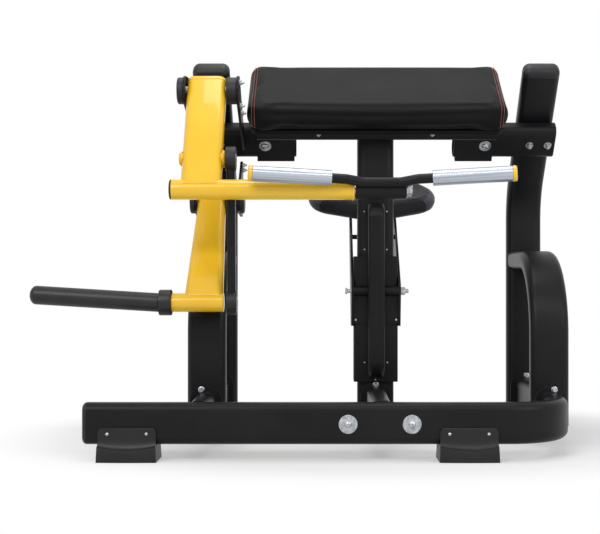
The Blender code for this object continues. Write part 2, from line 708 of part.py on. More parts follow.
def make_column(rail_mid):
    """Column under the pad with its foot, slide shroud and front brace."""
    wide, deep, thick = COLUMN_FOOT_SIZE
    column = flat_tube("column", [(0, 0, thick / 2), (0, 0, COLUMN_TOP_Z)], X_AXIS, TUBE_WIDE, TUBE_THIN, "black_paint")
    bm = bmesh.new()
    plate(bm, rounded_rectangle(wide, deep, 0.015, 3), Vector((0, 0, thick / 2)), X_AXIS, Y_AXIS, thick)
    weld(column, bm)
    normal, down = pad_frame()
    top_mid = Vector((0, rail_mid.y, rail_mid.z)) - normal * (RAIL_THICK / 2 + SEAT_GAP)
    bm = bmesh.new()
    corners = [(-0.3, 0.0), (0.3, 0.0), (0.3, 0.3), (-0.3, 0.3)]
    plate(bm, corners, top_mid, -down, normal, 1.0)
    cut(column, bm)
    bm = bmesh.new()
    outline = rounded_rectangle(2 * SHROUD_HALF_X, 2 * SHROUD_HALF_Y, 0.006)
    hole = rounded_rectangle(TUBE_WIDE + 2 * SEAT_GAP, TUBE_THIN + 2 * SEAT_GAP, TUBE_ROUND)
    sweep(bm, [(Vector((0, 0, SHROUD_LOW_Z)), Z_AXIS), (Vector((0, 0, SHROUD_TOP_Z)), Z_AXIS)], X_AXIS, outline, hole)
    add("slide_shroud", bm, "black_paint")
    mid_y = BRACE_FACE_Y + BRACE_THIN / 2
    flat_tube("column_brace", [(0, -TUBE_THIN / 2 - SEAT_GAP, BRACE_TOP_Z - BRACE_THIN / 2),
                               (0, mid_y, BRACE_TOP_Z - BRACE_THIN / 2),
                               (0, mid_y, BRACE_LOW_Z + BRACE_THIN / 2),
                               (0, -SHROUD_HALF_Y - SEAT_GAP, BRACE_LOW_Z + BRACE_THIN / 2)],
              X_AXIS, BRACE_WIDE, BRACE_THIN, "black_paint", BRACE_BEND_RADIUS, TUBE_WALL, 0.013, 4)

def arm_point(drop):
    """Point of the handle arm's middle line, a given height below the elbow line."""
    return (ELBOW[0] - drop * tan(ARM_TILT), ELBOW[1] - drop)


HANDLE_MID = arm_point(ELBOW[1] - HANDLE_Z)
LINK_TOP = arm_point(LINK_PIN_DROP)


def make_elbow_pivot():
    """Plates and bearing housings that hold the handle arm's axle."""
    upright_left = -SIDE_X - TUBE_WIDE / 2
    left_high = upright_left - SEAT_GAP
    left_low = left_high - PIVOT_PLATE
    along, outward = lean_frame()
    knee = Vector((0, UPRIGHT_FACE_Y, UPRIGHT_KNEE_Z))
    on_face = knee + along * 0.42
    anchor = on_face - outward * TUBE_THIN / 2
    bm = bmesh.new()
    side_plate(bm, [(*ELBOW, PIVOT_PLATE_ROUND), (anchor.y, anchor.z, 0.040),
                    (anchor.y - along.y * 0.16, anchor.z - along.z * 0.16, 0.030)], left_low, left_high)
    left = add("left_elbow_plate", bm, "black_paint")
    right_low = RIGHT_PLATE_X
    right_high = right_low + PIVOT_PLATE
    bm = bmesh.new()
    bar = Vector((0, *CROSSBAR_MID)) + outward * (TUBE_THIN / 2 + 0.014)
    side_plate(bm, [(*ELBOW, PIVOT_PLATE_ROUND), (bar.y + along.y * 0.045, bar.z + along.z * 0.045, 0.0125),
                    (bar.y + along.y * 0.005, bar.z + along.z * 0.005, 0.0125)], right_low, right_high)
    right = add("right_elbow_plate", bm, "black_paint")
    for target in (left, right):
        bm = bmesh.new()
        turned(bm, (-1, *ELBOW), X_AXIS, solid_round(AXLE_RADIUS + RUN_GAP, 0, 1))
        cut(target, bm)
    bore = AXLE_RADIUS + SEAT_GAP
    bm = bmesh.new()
    start = left_low - SEAT_GAP
    turned(bm, (start, *ELBOW), -X_AXIS,
           [(bore, 0), (HOUSING_RADIUS, 0), (HOUSING_RADIUS, LEFT_HOUSING_THICK - 0.004),
            (HOUSING_RADIUS - 0.004, LEFT_HOUSING_THICK), (0, LEFT_HOUSING_THICK),
            (0, LEFT_HOUSING_THICK - 0.005), (bore, LEFT_HOUSING_THICK - 0.005)])
    add("left_elbow_housing", bm, "plastic")
    arm_right = ARM_X + ARM_WIDE / 2
    bm = bmesh.new()
    turned(bm, (arm_right + RUN_GAP, *ELBOW), X_AXIS,
           bored_round(HOUSING_RADIUS, bore, 0, right_low - SEAT_GAP - arm_right - RUN_GAP))
    add("right_elbow_housing", bm, "plastic")
    bm = bmesh.new()
    turned(bm, (0, *ELBOW), X_AXIS,
           solid_round(AXLE_RADIUS, left_low - LEFT_HOUSING_THICK + 0.007, right_high - 0.001, 0.001))
    add("elbow_axle", bm, "zinc")


def make_handle_arm():
    """Flat tube from the elbow line down to the round handle tube, with the link's pin."""
    direction = Vector((0, -sin(ARM_TILT), -cos(ARM_TILT)))
    elbow = Vector((ARM_X, *ELBOW))
    handle = Vector((ARM_X, *HANDLE_MID))
    bm = bmesh.new()
    outline = rounded_rectangle(ARM_WIDE, TUBE_THIN, TUBE_ROUND)
    bore = rounded_rectangle(ARM_WIDE - 2 * TUBE_WALL, TUBE_THIN - 2 * TUBE_WALL, TUBE_ROUND - TUBE_WALL)
    top = elbow - direction * ARM_RISE
    sweep(bm, [(top, direction), (handle, direction)], X_AXIS, outline, bore)
    arm = add("handle_arm", bm, "yellow_paint")
    bm = bmesh.new()
    inner = rounded_rectangle(ARM_WIDE - TUBE_WALL, TUBE_THIN - TUBE_WALL, TUBE_ROUND - TUBE_WALL / 2)
    sweep(bm, [(top + direction * 0.001, direction), (top + direction * 0.012, direction)], X_AXIS, inner)
    weld(arm, bm)
    bm = bmesh.new()
    turned(bm, (-1, *ELBOW), X_AXIS, solid_round(AXLE_RADIUS + SEAT_GAP, 0, 1))
    turned(bm, (-1, *HANDLE_MID), X_AXIS, solid_round(HANDLE_TUBE_RADIUS + SEAT_GAP, 0, 1))
    turned(bm, (-1, *LINK_TOP), X_AXIS, solid_round(LINK_PIN_RADIUS + SEAT_GAP, 0, 1))
    cut(arm, bm)
    bm = bmesh.new()
    left, right = HANDLE_TUBE_XS
    turned(bm, (0, *HANDLE_MID), X_AXIS, bored_round(HANDLE_TUBE_RADIUS, SPINDLE_RADIUS + SEAT_GAP, left, right))
    add("handle_tube", bm, "yellow_paint")
    bm = bmesh.new()
    turned(bm, (left - SEAT_GAP, *HANDLE_MID), -X_AXIS, solid_round(HANDLE_TUBE_RADIUS - 0.001, 0, 0.006, 0.002))
    add("handle_tube_plug", bm, "plastic")
    bm = bmesh.new()
    link_left = LINK_X - LINK_THICK / 2
    arm_right = ARM_X + ARM_WIDE / 2
    arm_left = ARM_X - ARM_WIDE / 2
    turned(bm, (arm_right + SEAT_GAP, *LINK_TOP), X_AXIS,
           [(0, arm_left - arm_right - 0.010), (LINK_PIN_RADIUS - 0.002, arm_left - arm_right - 0.010),
            (LINK_PIN_RADIUS, arm_left - arm_right - 0.008), (LINK_PIN_RADIUS, 0), (0.027, 0), (0.024, link_left - arm_right - 2 * SEAT_GAP - 0.001),
            (0.0125, link_left - arm_right - 2 * SEAT_GAP - 0.001), (0.0125, link_left - arm_right + LINK_THICK - 0.004),
            (0, link_left - arm_right + LINK_THICK - 0.004)])
    add("link_pin", bm, "yellow_paint")


def make_handle():
    """Boss that turns on the spindle, bent bar welded to it and two turned grips."""
    y, z = HANDLE_MID
    nut_start = BOSS_XS[1] + 0.001
    bm = bmesh.new()
    turned(bm, (0, y, z), X_AXIS, solid_round(SPINDLE_RADIUS, HANDLE_TUBE_XS[1] - 0.060, nut_start + HANDLE_NUT_LONG + 0.002, 0.001))
    add("handle_spindle", bm, "zinc")
    bm = bmesh.new()
    bore = SPINDLE_RADIUS + SEAT_GAP
    turned(bm, (nut_start, y, z), X_AXIS,
           [(bore, 0), (0.024, 0), (0.024, 0.004), (0.020, 0.004), (0.020, HANDLE_NUT_LONG - 0.002),
            (0.018, HANDLE_NUT_LONG), (bore, HANDLE_NUT_LONG)])
    add("handle_nut", bm, "zinc")
    bm = bmesh.new()
    turned(bm, (0, y, z), X_AXIS, bored_round(BOSS_RADIUS, SPINDLE_RADIUS + SEAT_GAP, *BOSS_XS))
    add("handle_boss", bm, "black_paint")

    inner, outer = GRIP_XS
    slope = (BAR_END_OFFSET - BAR_GRIP_OFFSET) / (outer - inner)
    out = Vector((0, -cos(BAR_TURN), sin(BAR_TURN)))
    axis = Vector((0, y, z))

    def spot(x, offset):
        return axis + X_AXIS * x + out * offset

    ends = [spot(outer - 0.004, BAR_END_OFFSET - 0.004 * slope), spot(0.105, BAR_GRIP_OFFSET - slope * (inner - 0.105)),
            spot(0.055, BAR_MID_OFFSET)]
    right = route(ends + [spot(0, BAR_MID_OFFSET)], 0.040, 3)[:-1]
    places = [place for place, _ in right]
    mirrored = [Vector((-p.x, p.y, p.z)) for p in reversed(places)]
    run = places + mirrored
    path = []
    for i, place in enumerate(run):
        before = run[max(i - 1, 0)]
        after = run[min(i + 1, len(run) - 1)]
        path.append((place, (after - before).normalized()))
    bm = bmesh.new()
    sweep(bm, path, out.cross(X_AXIS), circle(BAR_RADIUS, 12))
    bar = add("handle_bar", bm, "black_paint")
    bm = bmesh.new()
    turned(bm, (-1, y, z), X_AXIS, solid_round(BOSS_RADIUS + SEAT_GAP, 0, 2))
    cut(bar, bm)
    for name, sign in SIDES:
        start = spot(sign * inner, BAR_GRIP_OFFSET)
        end = spot(sign * outer, BAR_END_OFFSET)
        direction = (end - start).normalized()
        long = (end - start).length
        bore = BAR_RADIUS + SEAT_GAP
        bm = bmesh.new()
        turned(bm, start, direction, [(bore, 0), (GRIP_RADIUS - 0.001, 0), (GRIP_RADIUS, 0.001),
                                      (GRIP_RADIUS, long - GRIP_RING_LONG), (bore, long - GRIP_RING_LONG)])
        add(name + "_grip", bm, "alloy")
        ring = long - GRIP_RING_LONG + SEAT_GAP
        bm = bmesh.new()
        turned(bm, start, direction, [(bore, ring), (GRIP_RADIUS + 0.0005, ring),
                                      (GRIP_RADIUS + 0.0005, ring + GRIP_RING_LONG - 0.003),
                                      (GRIP_RADIUS - 0.002, ring + GRIP_RING_LONG),
                                      (0, ring + GRIP_RING_LONG), (0, ring + 0.009), (bore, ring + 0.009)])
        add(name + "_grip_cap", bm, "yellow_paint")


def make_weight_arm():
    """Arm that carries the plates, its fork on the left upright, the horn and its collar."""
    half = WEIGHT_ARM_WIDE / 2
    left_face = WEIGHT_ARM_X - half - RUN_GAP
    right_face = WEIGHT_ARM_X + half + RUN_GAP
    y, z = WEIGHT_PIVOT
    root_y = UPRIGHT_FACE_Y - SEAT_GAP
    left_cheek = (left_face - CHEEK, left_face)
    right_cheek = (RIGHT_CHEEK_X, RIGHT_CHEEK_X + CHEEK)
    bm = bmesh.new()
    box(bm, (left_cheek[0] + 0.001, root_y - 0.010, WEIGHT_ROOT_ZS[0]),
        (-SIDE_X + TUBE_WIDE / 2 - 0.003, root_y - 0.0005, WEIGHT_ROOT_ZS[1]))
    bracket = add("weight_bracket", bm, "black_paint")
    roots = [(root_y - 0.004, z_root + 0.002, 0.004) for z_root in WEIGHT_ROOT_ZS]
    bm_spacer = bmesh.new()
    turned(bm_spacer, (0, *CHEEK_SPACER), X_AXIS, solid_round(CHEEK_SPACER_RADIUS, left_cheek[1] - 0.001,
                                                              right_cheek[0] + 0.001))
    boss = (*CHEEK_SPACER, 0.022)
    for (low_x, high_x), extra in ((left_cheek, roots), (right_cheek, [(*RIGHT_CHEEK_TOP, 0.022)])):
        outline = hull_around([(y, z, 0.036), boss] + extra)
        bm = bmesh.new()
        plate(bm, outline, Vector(((low_x + high_x) / 2, 0, 0)), Y_AXIS, Z_AXIS, CHEEK)
        weld(bracket, bm)
        if (low_x, high_x) == left_cheek:
            weld(bracket, bm_spacer)
    bm = bmesh.new()
    turned(bm, (-1, y, z), X_AXIS, solid_round(AXLE_RADIUS + SEAT_GAP, 0, 1))
    cut(bracket, bm)
    bore = AXLE_RADIUS + SEAT_GAP
    housing_left = left_cheek[0] - SEAT_GAP
    long = WEIGHT_CAP_LONG
    deep = long - 0.005
    cap = [(bore, 0), (HOUSING_RADIUS, 0), (HOUSING_RADIUS, long - 0.004), (HOUSING_RADIUS - 0.003, long), (0, long),
           (0, deep), (bore, deep)]
    bm = bmesh.new()
    turned(bm, (housing_left, y, z), -X_AXIS, cap)
    add("left_weight_housing", bm, "plastic")
    bm = bmesh.new()
    turned(bm, (right_face, y, z), X_AXIS, bored_round(HOUSING_RADIUS, bore, 0, right_cheek[0] - SEAT_GAP - right_face))
    add("right_weight_housing", bm, "plastic")
    bm = bmesh.new()
    turned(bm, (right_cheek[1] + SEAT_GAP, y, z), X_AXIS, cap)
    add("weight_axle_cap", bm, "plastic")
    bm = bmesh.new()
    turned(bm, (0, y, z), X_AXIS, solid_round(AXLE_RADIUS, housing_left - deep + 0.001,
                                                  right_cheek[1] + deep - 0.001, 0.001))
    add("weight_axle", bm, "zinc")

    pivot = Vector((WEIGHT_ARM_X, y, z))
    horn = Vector((WEIGHT_ARM_X, *HORN_MID))
    direction = (horn - pivot).normalized()
    bm = bmesh.new()
    outline = rounded_rectangle(WEIGHT_ARM_WIDE, WEIGHT_ARM_THIN, WEIGHT_ARM_ROUND)
    bore = rounded_rectangle(WEIGHT_ARM_WIDE - 2 * TUBE_WALL, WEIGHT_ARM_THIN - 2 * TUBE_WALL,
                             WEIGHT_ARM_ROUND - TUBE_WALL)
    taper = pivot + direction * WEIGHT_TAPER_START
    sweep(bm, [(pivot - direction * 0.035, direction), (taper, direction), (horn, direction)], X_AXIS, outline, bore)
    for vert in bm.verts:
        share = max(0.0, (vert.co - taper).dot(direction) / (horn - taper).length)
        wider = 1 + share * (WEIGHT_ARM_LOW_WIDE / WEIGHT_ARM_WIDE - 1)
        vert.co.x = WEIGHT_ARM_X + (vert.co.x - WEIGHT_ARM_X) * wider + share * WEIGHT_ARM_LOW_SHIFT
    arm = add("weight_arm", bm, "yellow_paint")
    bm = bmesh.new()
    turned(bm, (-1, y, z), X_AXIS, solid_round(AXLE_RADIUS + SEAT_GAP, 0, 1))
    turned(bm, (-1, *HORN_MID), X_AXIS, solid_round(HORN_TUBE_RADIUS + SEAT_GAP, 0, 1))
    cut(arm, bm)
    left, right = HORN_TUBE_XS
    bm = bmesh.new()
    turned(bm, (0, *HORN_MID), X_AXIS, solid_round(HORN_TUBE_RADIUS, left, right, 0.001))
    add("horn_tube", bm, "yellow_paint")
    tilt = Vector((-cos(HORN_TILT), 0, sin(HORN_TILT)))
    seat = Vector((left - SEAT_GAP, *HORN_MID))
    bm = bmesh.new()
    turned(bm, seat, -X_AXIS, [(0, 0), (COLLAR_RADIUS - 0.002, 0), (COLLAR_RADIUS, 0.002),
                               (COLLAR_RADIUS, COLLAR_LONG - 0.004), (COLLAR_RADIUS - 0.003, COLLAR_LONG), (0, COLLAR_LONG)])
    add("horn_collar", bm, "rubber")
    start = seat + Vector((-COLLAR_LONG - SEAT_GAP - HORN_SLEEVE_RADIUS * tan(HORN_TILT), 0, 0))
    bm = bmesh.new()
    dome = []
    steps = 5
    for step in range(1, steps):
        angle = step * pi / 2 / steps
        dome.append((HORN_SLEEVE_RADIUS * cos(angle), HORN_LONG - COLLAR_LONG - 0.020 + 0.020 * sin(angle)))
    turned(bm, start, tilt, [(0, 0), (HORN_SLEEVE_RADIUS, 0), (HORN_SLEEVE_RADIUS, HORN_LONG - COLLAR_LONG - 0.020),
                             *dome, (0, HORN_LONG - COLLAR_LONG)])
    add("weight_horn", bm, "rubber")


def make_link():
    """Bar with a bearing eye at each end, from the handle arm to the horn's axis."""
    top = Vector((LINK_X, *LINK_TOP))
    low = Vector((LINK_X, *HORN_MID))
    direction = (low - top).normalized()
    long = (low - top).length
    left = LINK_X - LINK_THICK / 2
    bm = bmesh.new()
    outline = rounded_rectangle(LINK_BAR_THICK, LINK_BAR_WIDE, 0.006, 2)
    sweep(bm, [(top + direction * 0.020, direction), (low - direction * 0.020, direction)], X_AXIS, outline)
    bar = add("link_bar", bm, "black_paint")
    for y, z in (LINK_TOP, HORN_MID):
        bm = bmesh.new()
        turned(bm, (left, y, z), X_AXIS, [(0, 0), (LINK_BEARING_RADIUS, 0), (LINK_BEARING_RADIUS, LINK_THICK - 0.003),
                                          (LINK_BEARING_RADIUS - 0.003, LINK_THICK), (0, LINK_THICK)])
        weld(bar, bm)
    for y, z in (LINK_TOP, HORN_MID):
        bm = bmesh.new()
        turned(bm, (-1, y, z), X_AXIS, solid_round(0.0128, 0, 1))
        cut(bar, bm)


def make_seat():
    """Seat that slides on the shroud: front plate, two cheeks, pan and cushion."""
    inner = SHROUD_HALF_X + SEAT_GAP
    outer = inner + CARRIAGE_PLATE
    front = -SHROUD_HALF_Y - SEAT_GAP
    bm = bmesh.new()
    box(bm, (-inner - 0.003, front - CARRIAGE_PLATE, CARRIAGE_LOW_Z + 0.008),
        (inner + 0.003, front, CARRIAGE_TOP_Z - 0.036))
    carriage = add("seat_carriage", bm, "black_paint")
    cross_y = front - CROSS_TUBE_RADIUS
    for place, radius in (((0, cross_y, CROSS_TUBE_Z), CROSS_TUBE_RADIUS), ((0, *UPPER_STRUT), STRUT_RADIUS),
                          ((0, *LOWER_STRUT), STRUT_RADIUS)):
        bm = bmesh.new()
        turned(bm, place, X_AXIS, solid_round(radius, -inner - 0.003, inner + 0.003), 20)
        weld(carriage, bm)
    up = Vector((0, -sin(SEAT_TILT), cos(SEAT_TILT)))
    back = Vector((0, cos(SEAT_TILT), sin(SEAT_TILT)))
    mid = Vector((0, *SEAT_MID))
    pan_low = mid - up * (PAN_THICK + SEAT_GAP)
    pan_front = pan_low + back * PAN_REST[0]
    pan_rear = pan_low + back * PAN_REST[1]
    for sign in (-1, 1):
        low_x, high_x = sorted((sign * inner, sign * outer))
        corners = [(front - CARRIAGE_PLATE, CARRIAGE_LOW_Z), (CARRIAGE_REAR_Y, CARRIAGE_LOW_Z),
                   (pan_rear.y, pan_rear.z), (pan_front.y, pan_front.z),
                   (cross_y - 0.010, CARRIAGE_TOP_Z), (cross_y - 0.016, CROSS_TUBE_Z)]
        bm = bmesh.new()
        plate(bm, corners, Vector(((low_x + high_x) / 2, 0, 0)), Y_AXIS, Z_AXIS, high_x - low_x)
        weld(carriage, bm)
    bm = bmesh.new()
    turned(bm, (-1, cross_y, CROSS_TUBE_Z), X_AXIS, solid_round(0.0065 + SEAT_GAP, 0, 2), 20)
    cut(carriage, bm)
    bm = bmesh.new()
    turned(bm, (0, cross_y, CROSS_TUBE_Z), X_AXIS, solid_round(0.0065, -outer - 0.013, outer + SEAT_BOLT_END, 0.001), 20)
    add("seat_bolt", bm, "zinc")
    bm = bmesh.new()
    turned(bm, (outer + SEAT_GAP, cross_y, CROSS_TUBE_Z), X_AXIS,
           [(0.0079, 0), (0.0125, 0), (0.0125, SEAT_NUT_LONG - 0.002),
            (0.0110, SEAT_NUT_LONG), (0.0079, SEAT_NUT_LONG)], 6)
    add("seat_nut", bm, "zinc")

    def shell(origin, low_inset, high_inset, thick, layers, look, name, crown=0.0):
        made = bmesh.new()
        rings = []
        for share, inset in layers:
            outline = rounded_rectangle(2 * SEAT_HALF_WIDE - 2 * inset, SEAT_LONG - 2 * inset,
                                        0.120 - inset, 7)
            rings.append([made.verts.new(origin + X_AXIS * x * (1 - 0.18 * max(0, -y) / SEAT_LONG)
                                         + back * y + up * (thick * share)) for x, y in outline])
        count = len(rings[0])
        for low, high in zip(rings, rings[1:]):
            for i in range(count):
                j = (i + 1) % count
                made.faces.new((low[i], low[j], high[j], high[i]))
        made.faces.new(reversed(rings[0]))
        made.faces.new(rings[-1])
        return add(name, made, look)

    shell(mid - up * PAN_THICK, 0.03, 0.02, PAN_THICK, ((0, 0.045), (0.4, 0.030), (1.0, 0.020)), "plastic", "seat_pan")
    shell(mid + up * SEAT_GAP, 0, 0, SEAT_THICK,
          ((0, 0.012), (0.16, 0.003), (0.42, 0.0), (0.68, 0.004), (0.86, 0.014), (0.96, 0.030), (1.0, 0.055), (1.06, 0.090)),
          "vinyl", "seat_cushion")


make_base()
make_feet()
make_side_frames()
crossbar_mid = make_crossbars()
rail_mid = make_pad(crossbar_mid)
make_column(rail_mid)
make_elbow_pivot()
make_handle_arm()
make_handle()
make_weight_arm()
make_link()
make_seat()
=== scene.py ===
"""Looks of a plate-loaded seated biceps machine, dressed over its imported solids, in metres."""

import json
from math import cos, pi, radians, sin, tan

import bmesh
import bpy
import numpy as np
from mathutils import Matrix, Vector
from mathutils.bvhtree import BVHTree


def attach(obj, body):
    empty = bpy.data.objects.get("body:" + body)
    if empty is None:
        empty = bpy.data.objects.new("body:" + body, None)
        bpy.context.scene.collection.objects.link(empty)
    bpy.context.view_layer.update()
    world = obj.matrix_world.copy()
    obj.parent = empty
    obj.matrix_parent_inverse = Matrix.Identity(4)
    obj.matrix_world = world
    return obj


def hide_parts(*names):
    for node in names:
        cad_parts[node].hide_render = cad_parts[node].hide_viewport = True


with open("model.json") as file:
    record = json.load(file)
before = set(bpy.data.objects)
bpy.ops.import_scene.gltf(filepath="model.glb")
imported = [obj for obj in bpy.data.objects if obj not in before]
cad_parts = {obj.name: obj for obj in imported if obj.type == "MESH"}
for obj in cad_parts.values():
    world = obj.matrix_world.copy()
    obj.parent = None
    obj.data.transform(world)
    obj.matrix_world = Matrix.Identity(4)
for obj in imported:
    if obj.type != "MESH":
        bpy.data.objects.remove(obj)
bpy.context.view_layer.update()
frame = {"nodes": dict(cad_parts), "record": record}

# The photograph's view: a level camera 3.4 m in front of the front tube, a little left of the column.
# The picture is 600 px wide, and the camera's axis meets it 25 px right of its middle.
picture = bpy.data.cameras.new("front_view")
picture.lens = 71.4
picture.sensor_width = 36
picture.shift_x = -25 / 600
camera = bpy.data.objects.new("front_view", picture)
camera.location = (-0.166, -3.93, 0.557)
camera.rotation_euler = (radians(90), 0, 0)
bpy.context.scene.collection.objects.link(camera)
bpy.context.scene.camera = camera
bpy.context.scene.view_settings.view_transform = "Standard"


# Front tube: 120 by 60 mm flat-oval steel tube with a 3 mm wall, bent cold on a mandrel at the right.
# It is welded, blasted and powder coated satin black, which leaves a fine orange peel of about 2 mm.
def linear(code):
    """Hex sRGB colour to linear light, by the sRGB curve."""
    raw = np.array([int(code[i:i + 2], 16) for i in (1, 3, 5)]) / 255
    curve = np.where(raw <= 0.04045, raw / 12.92, ((raw + 0.055) / 1.055) ** 2.4)
    return (*(float(v) for v in curve), 1.0)


def link(tree, source, socket):
    """Links a socket, or the first output of a node, to an input."""
    tree.links.new(source.outputs[0] if isinstance(source, bpy.types.Node) else source, socket)


def add(tree, kind, links=None, **settings):
    """Adds a node and sets its properties and sockets by name. In links, an input takes a node or a socket, which
    is linked, or a plain value."""
    made = tree.nodes.new("ShaderNode" + kind)
    for key, value in settings.items():
        if hasattr(made, key):
            setattr(made, key, value)
        else:
            made.inputs[key.replace("_", " ")].default_value = value
    for socket, source in (links or {}).items():
        if isinstance(source, (bpy.types.Node, bpy.types.NodeSocket)):
            link(tree, source, made.inputs[socket])
        else:
            made.inputs[socket].default_value = source
    return made


def new_finish(name, **surface):
    """An empty material with its Principled shader, whose plain values are set on its own sockets."""
    made = bpy.data.materials.new(name)
    made.use_nodes = True
    shader = made.node_tree.nodes["Principled BSDF"]
    for key, value in surface.items():
        shader.inputs[key.replace("_", " ")].default_value = value
    place = add(made.node_tree, "TexCoord").outputs["Object"]
    return made, made.node_tree, shader, place


def ramped(tree, source, dark, light, low=0.35, high=0.65):
    """Colour that runs between two tones as a texture value goes from low to high."""
    ramp = add(tree, "ValToRGB", {"Fac": source})
    for stop, spot, tone in zip(ramp.color_ramp.elements, (low, high), (dark, light)):
        stop.position = spot
        stop.color = linear(tone)
    return ramp


def roughened(tree, shader, source, low, high):
    """Roughness that runs from low to high with a texture value."""
    link(tree, add(tree, "MapRange", {"Value": source}, To_Min=low, To_Max=high), shader.inputs["Roughness"])


def embossed(tree, shader, height, depth, strength=1.0):
    """Bump of the given depth in metres."""
    link(tree, add(tree, "Bump", {"Height": height}, Strength=strength, Distance=depth), shader.inputs["Normal"])


def grained(name, drift, dark, light, grain=None, rough=None, depth=0.0, **surface):
    """Colour that drifts between two tones with a soft noise. The grain (texture, scale, detail) drives roughness
    and bump; without one the soft noise does."""
    made, tree, shader, place = new_finish(name, **surface)
    source = add(tree, "TexNoise", {"Vector": place}, Scale=drift, Detail=3.0)
    link(tree, ramped(tree, source, dark, light), shader.inputs["Base Color"])
    if grain:
        source = add(tree, "Tex" + grain[0], {"Vector": place}, Scale=grain[1], Detail=grain[2])
    if rough:
        roughened(tree, shader, source, *rough)
    if depth:
        embossed(tree, shader, source, depth)
    return made


powder_coat = grained("powder_coat", 6.0, "#161618", "#1B1B1D", ("Noise", 420.0, 2.0), (0.30, 0.42), 0.00025,
                      Roughness=0.36, Specular_IOR_Level=0.15)

body_of = {node: body for body, nodes in frame["record"]["behaviour"]["bodies"].items() for node in nodes}
X, Y, Z = np.eye(3)
SIDES = (("left", -1), ("right", 1))

def unit(vector):
    return np.asarray(vector, float) / np.linalg.norm(vector)


def placed(name, data):
    """A new object, linked to the scene."""
    made = bpy.data.objects.new(name, data)
    bpy.context.scene.collection.objects.link(made)
    return made


def joined(name, mesh, finish, node, hide=True, ease=0.0, sharp=35):
    """Finishes a mesh, eases its sharp edges, rides it on the node's body and, with hide, takes the node's place."""
    mesh.shade_smooth()
    mesh.set_sharp_from_angle(angle=radians(sharp))
    mesh.materials.clear()
    mesh.materials.append(finish)
    made = placed(name, mesh)
    if ease:
        edge = made.modifiers.new("eased_edges", "BEVEL")
        edge.width = ease
        edge.segments = 3
        edge.limit_method = "ANGLE"
        edge.angle_limit = radians(40)
        edge.harden_normals = True
    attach(made, body_of[node])
    if hide:
        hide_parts(node)
    return made


def meshed(name, points, faces, near=0.000005):
    """A mesh from its grid of points: poles closed by merging, faces turned outwards."""
    mesh = bpy.data.meshes.new(name)
    mesh.from_pydata(points.reshape(-1, 3).tolist(), [], faces.tolist() if isinstance(faces, np.ndarray) else faces)
    bm = bmesh.new()
    bm.from_mesh(mesh)
    bmesh.ops.remove_doubles(bm, verts=bm.verts, dist=near)
    bmesh.ops.dissolve_degenerate(bm, edges=bm.edges, dist=0.000002)
    bmesh.ops.recalc_face_normals(bm, faces=bm.faces)
    bm.to_mesh(mesh)
    bm.free()
    return mesh


def make(name, points, faces, finish, node, hide=True, ease=0.0, sharp=35):
    """A piece from its points and faces."""
    return joined(name, meshed(name, points, faces), finish, node, hide, ease, sharp)


def quads(rows, columns, rows_close, columns_close):
    """Index of each quad of a grid, joined round in either direction."""
    i = np.arange(rows if rows_close else rows - 1)[:, None]
    j = np.arange(columns if columns_close else columns - 1)[None, :]
    k, l = (i + 1) % rows, (j + 1) % columns
    corners = [i * columns + j, i * columns + l, k * columns + l, k * columns + j]
    return np.stack([c + 0 * i + 0 * j for c in corners], -1).reshape(-1, 4)


def capped(rows, columns):
    """Faces of a stack of closed rings with a flat face at either end."""
    ends = [list(range(columns))[::-1], list(range((rows - 1) * columns, rows * columns))]
    return quads(rows, columns, False, True).tolist() + ends


def laid(outline, origin, first, second):
    """An outline (x, y) in space: origin + first * x + second * y."""
    return np.asarray(origin, float) + outline[:, :1] * first + outline[:, 1:] * second


def rounded(wide, tall, radius, steps=8):
    """Rounded rectangle: four quarter circles whose centres sit one radius in from the corners."""
    angle = np.concatenate([np.linspace(k * pi / 2, (k + 1) * pi / 2, steps + 1) for k in range(4)])
    cx = np.repeat([1, -1, -1, 1], steps + 1) * (wide / 2 - radius)
    cy = np.repeat([1, 1, -1, -1], steps + 1) * (tall / 2 - radius)
    return np.stack([cx + radius * np.cos(angle), cy + radius * np.sin(angle)], -1)


def bent(points, radius, steps=24):
    """Straight runs joined by arcs of one radius; gives the places and the headings along them."""
    points = [np.asarray(p, float) for p in points]
    places, headings = [points[0]], [unit(points[1] - points[0])]
    for before, corner, after in zip(points, points[1:], points[2:]):
        a, b = unit(corner - before), unit(after - corner)
        turn = np.arccos(np.clip(a @ b, -1, 1))
        inward = unit(b - a * (a @ b))
        centre = corner - a * radius * tan(turn / 2) + inward * radius
        for t in np.linspace(0, turn, steps):
            places.append(centre - inward * radius * cos(t) + a * radius * sin(t))
            headings.append(a * cos(t) + inward * sin(t))
    places.append(points[-1])
    headings.append(unit(points[-1] - points[-2]))
    return np.array(places), np.array(headings)


def carried(profile, places, headings, side):
    """A profile (x, y) carried along a path: place + side * x + (side x heading) * y."""
    up = np.cross(side, headings)
    return places[:, None] + profile[None, :, :1] * side + profile[None, :, 1:] * up[:, None]


TUBE = (0.120, 0.060, 0.024)
WELD_LINE = (0.1195, 0.0595, 0.024)
WALL = 0.003


def frame_tube(name, points, side, bend=0.1, size=TUBE):
    """One closed skin: out along the outside of the tube and back along the inside of its wall."""
    wide, thin, radius = size
    places, headings = bent(points, bend)
    outside = carried(rounded(wide, thin, radius), places, headings, side)
    inside = carried(rounded(wide - 2 * WALL, thin - 2 * WALL, radius - WALL), places, headings, side)
    skin = np.concatenate([outside, inside[::-1]])
    return make(name + "_steel", skin, quads(*skin.shape[:2], True, True), powder_coat, name)


FRONT_Y, BASE_Z, SIDE_X = -0.500, 0.1075, 0.535
FLANGE_LEG_Y, FLANGE_UPRIGHT_Y = -0.2423, 0.2447
frame_tube("front_base_tube", [(-0.850, FRONT_Y, BASE_Z), (SIDE_X, FRONT_Y, BASE_Z), (SIDE_X, FLANGE_LEG_Y, BASE_Z)],
           Z, 0.170)

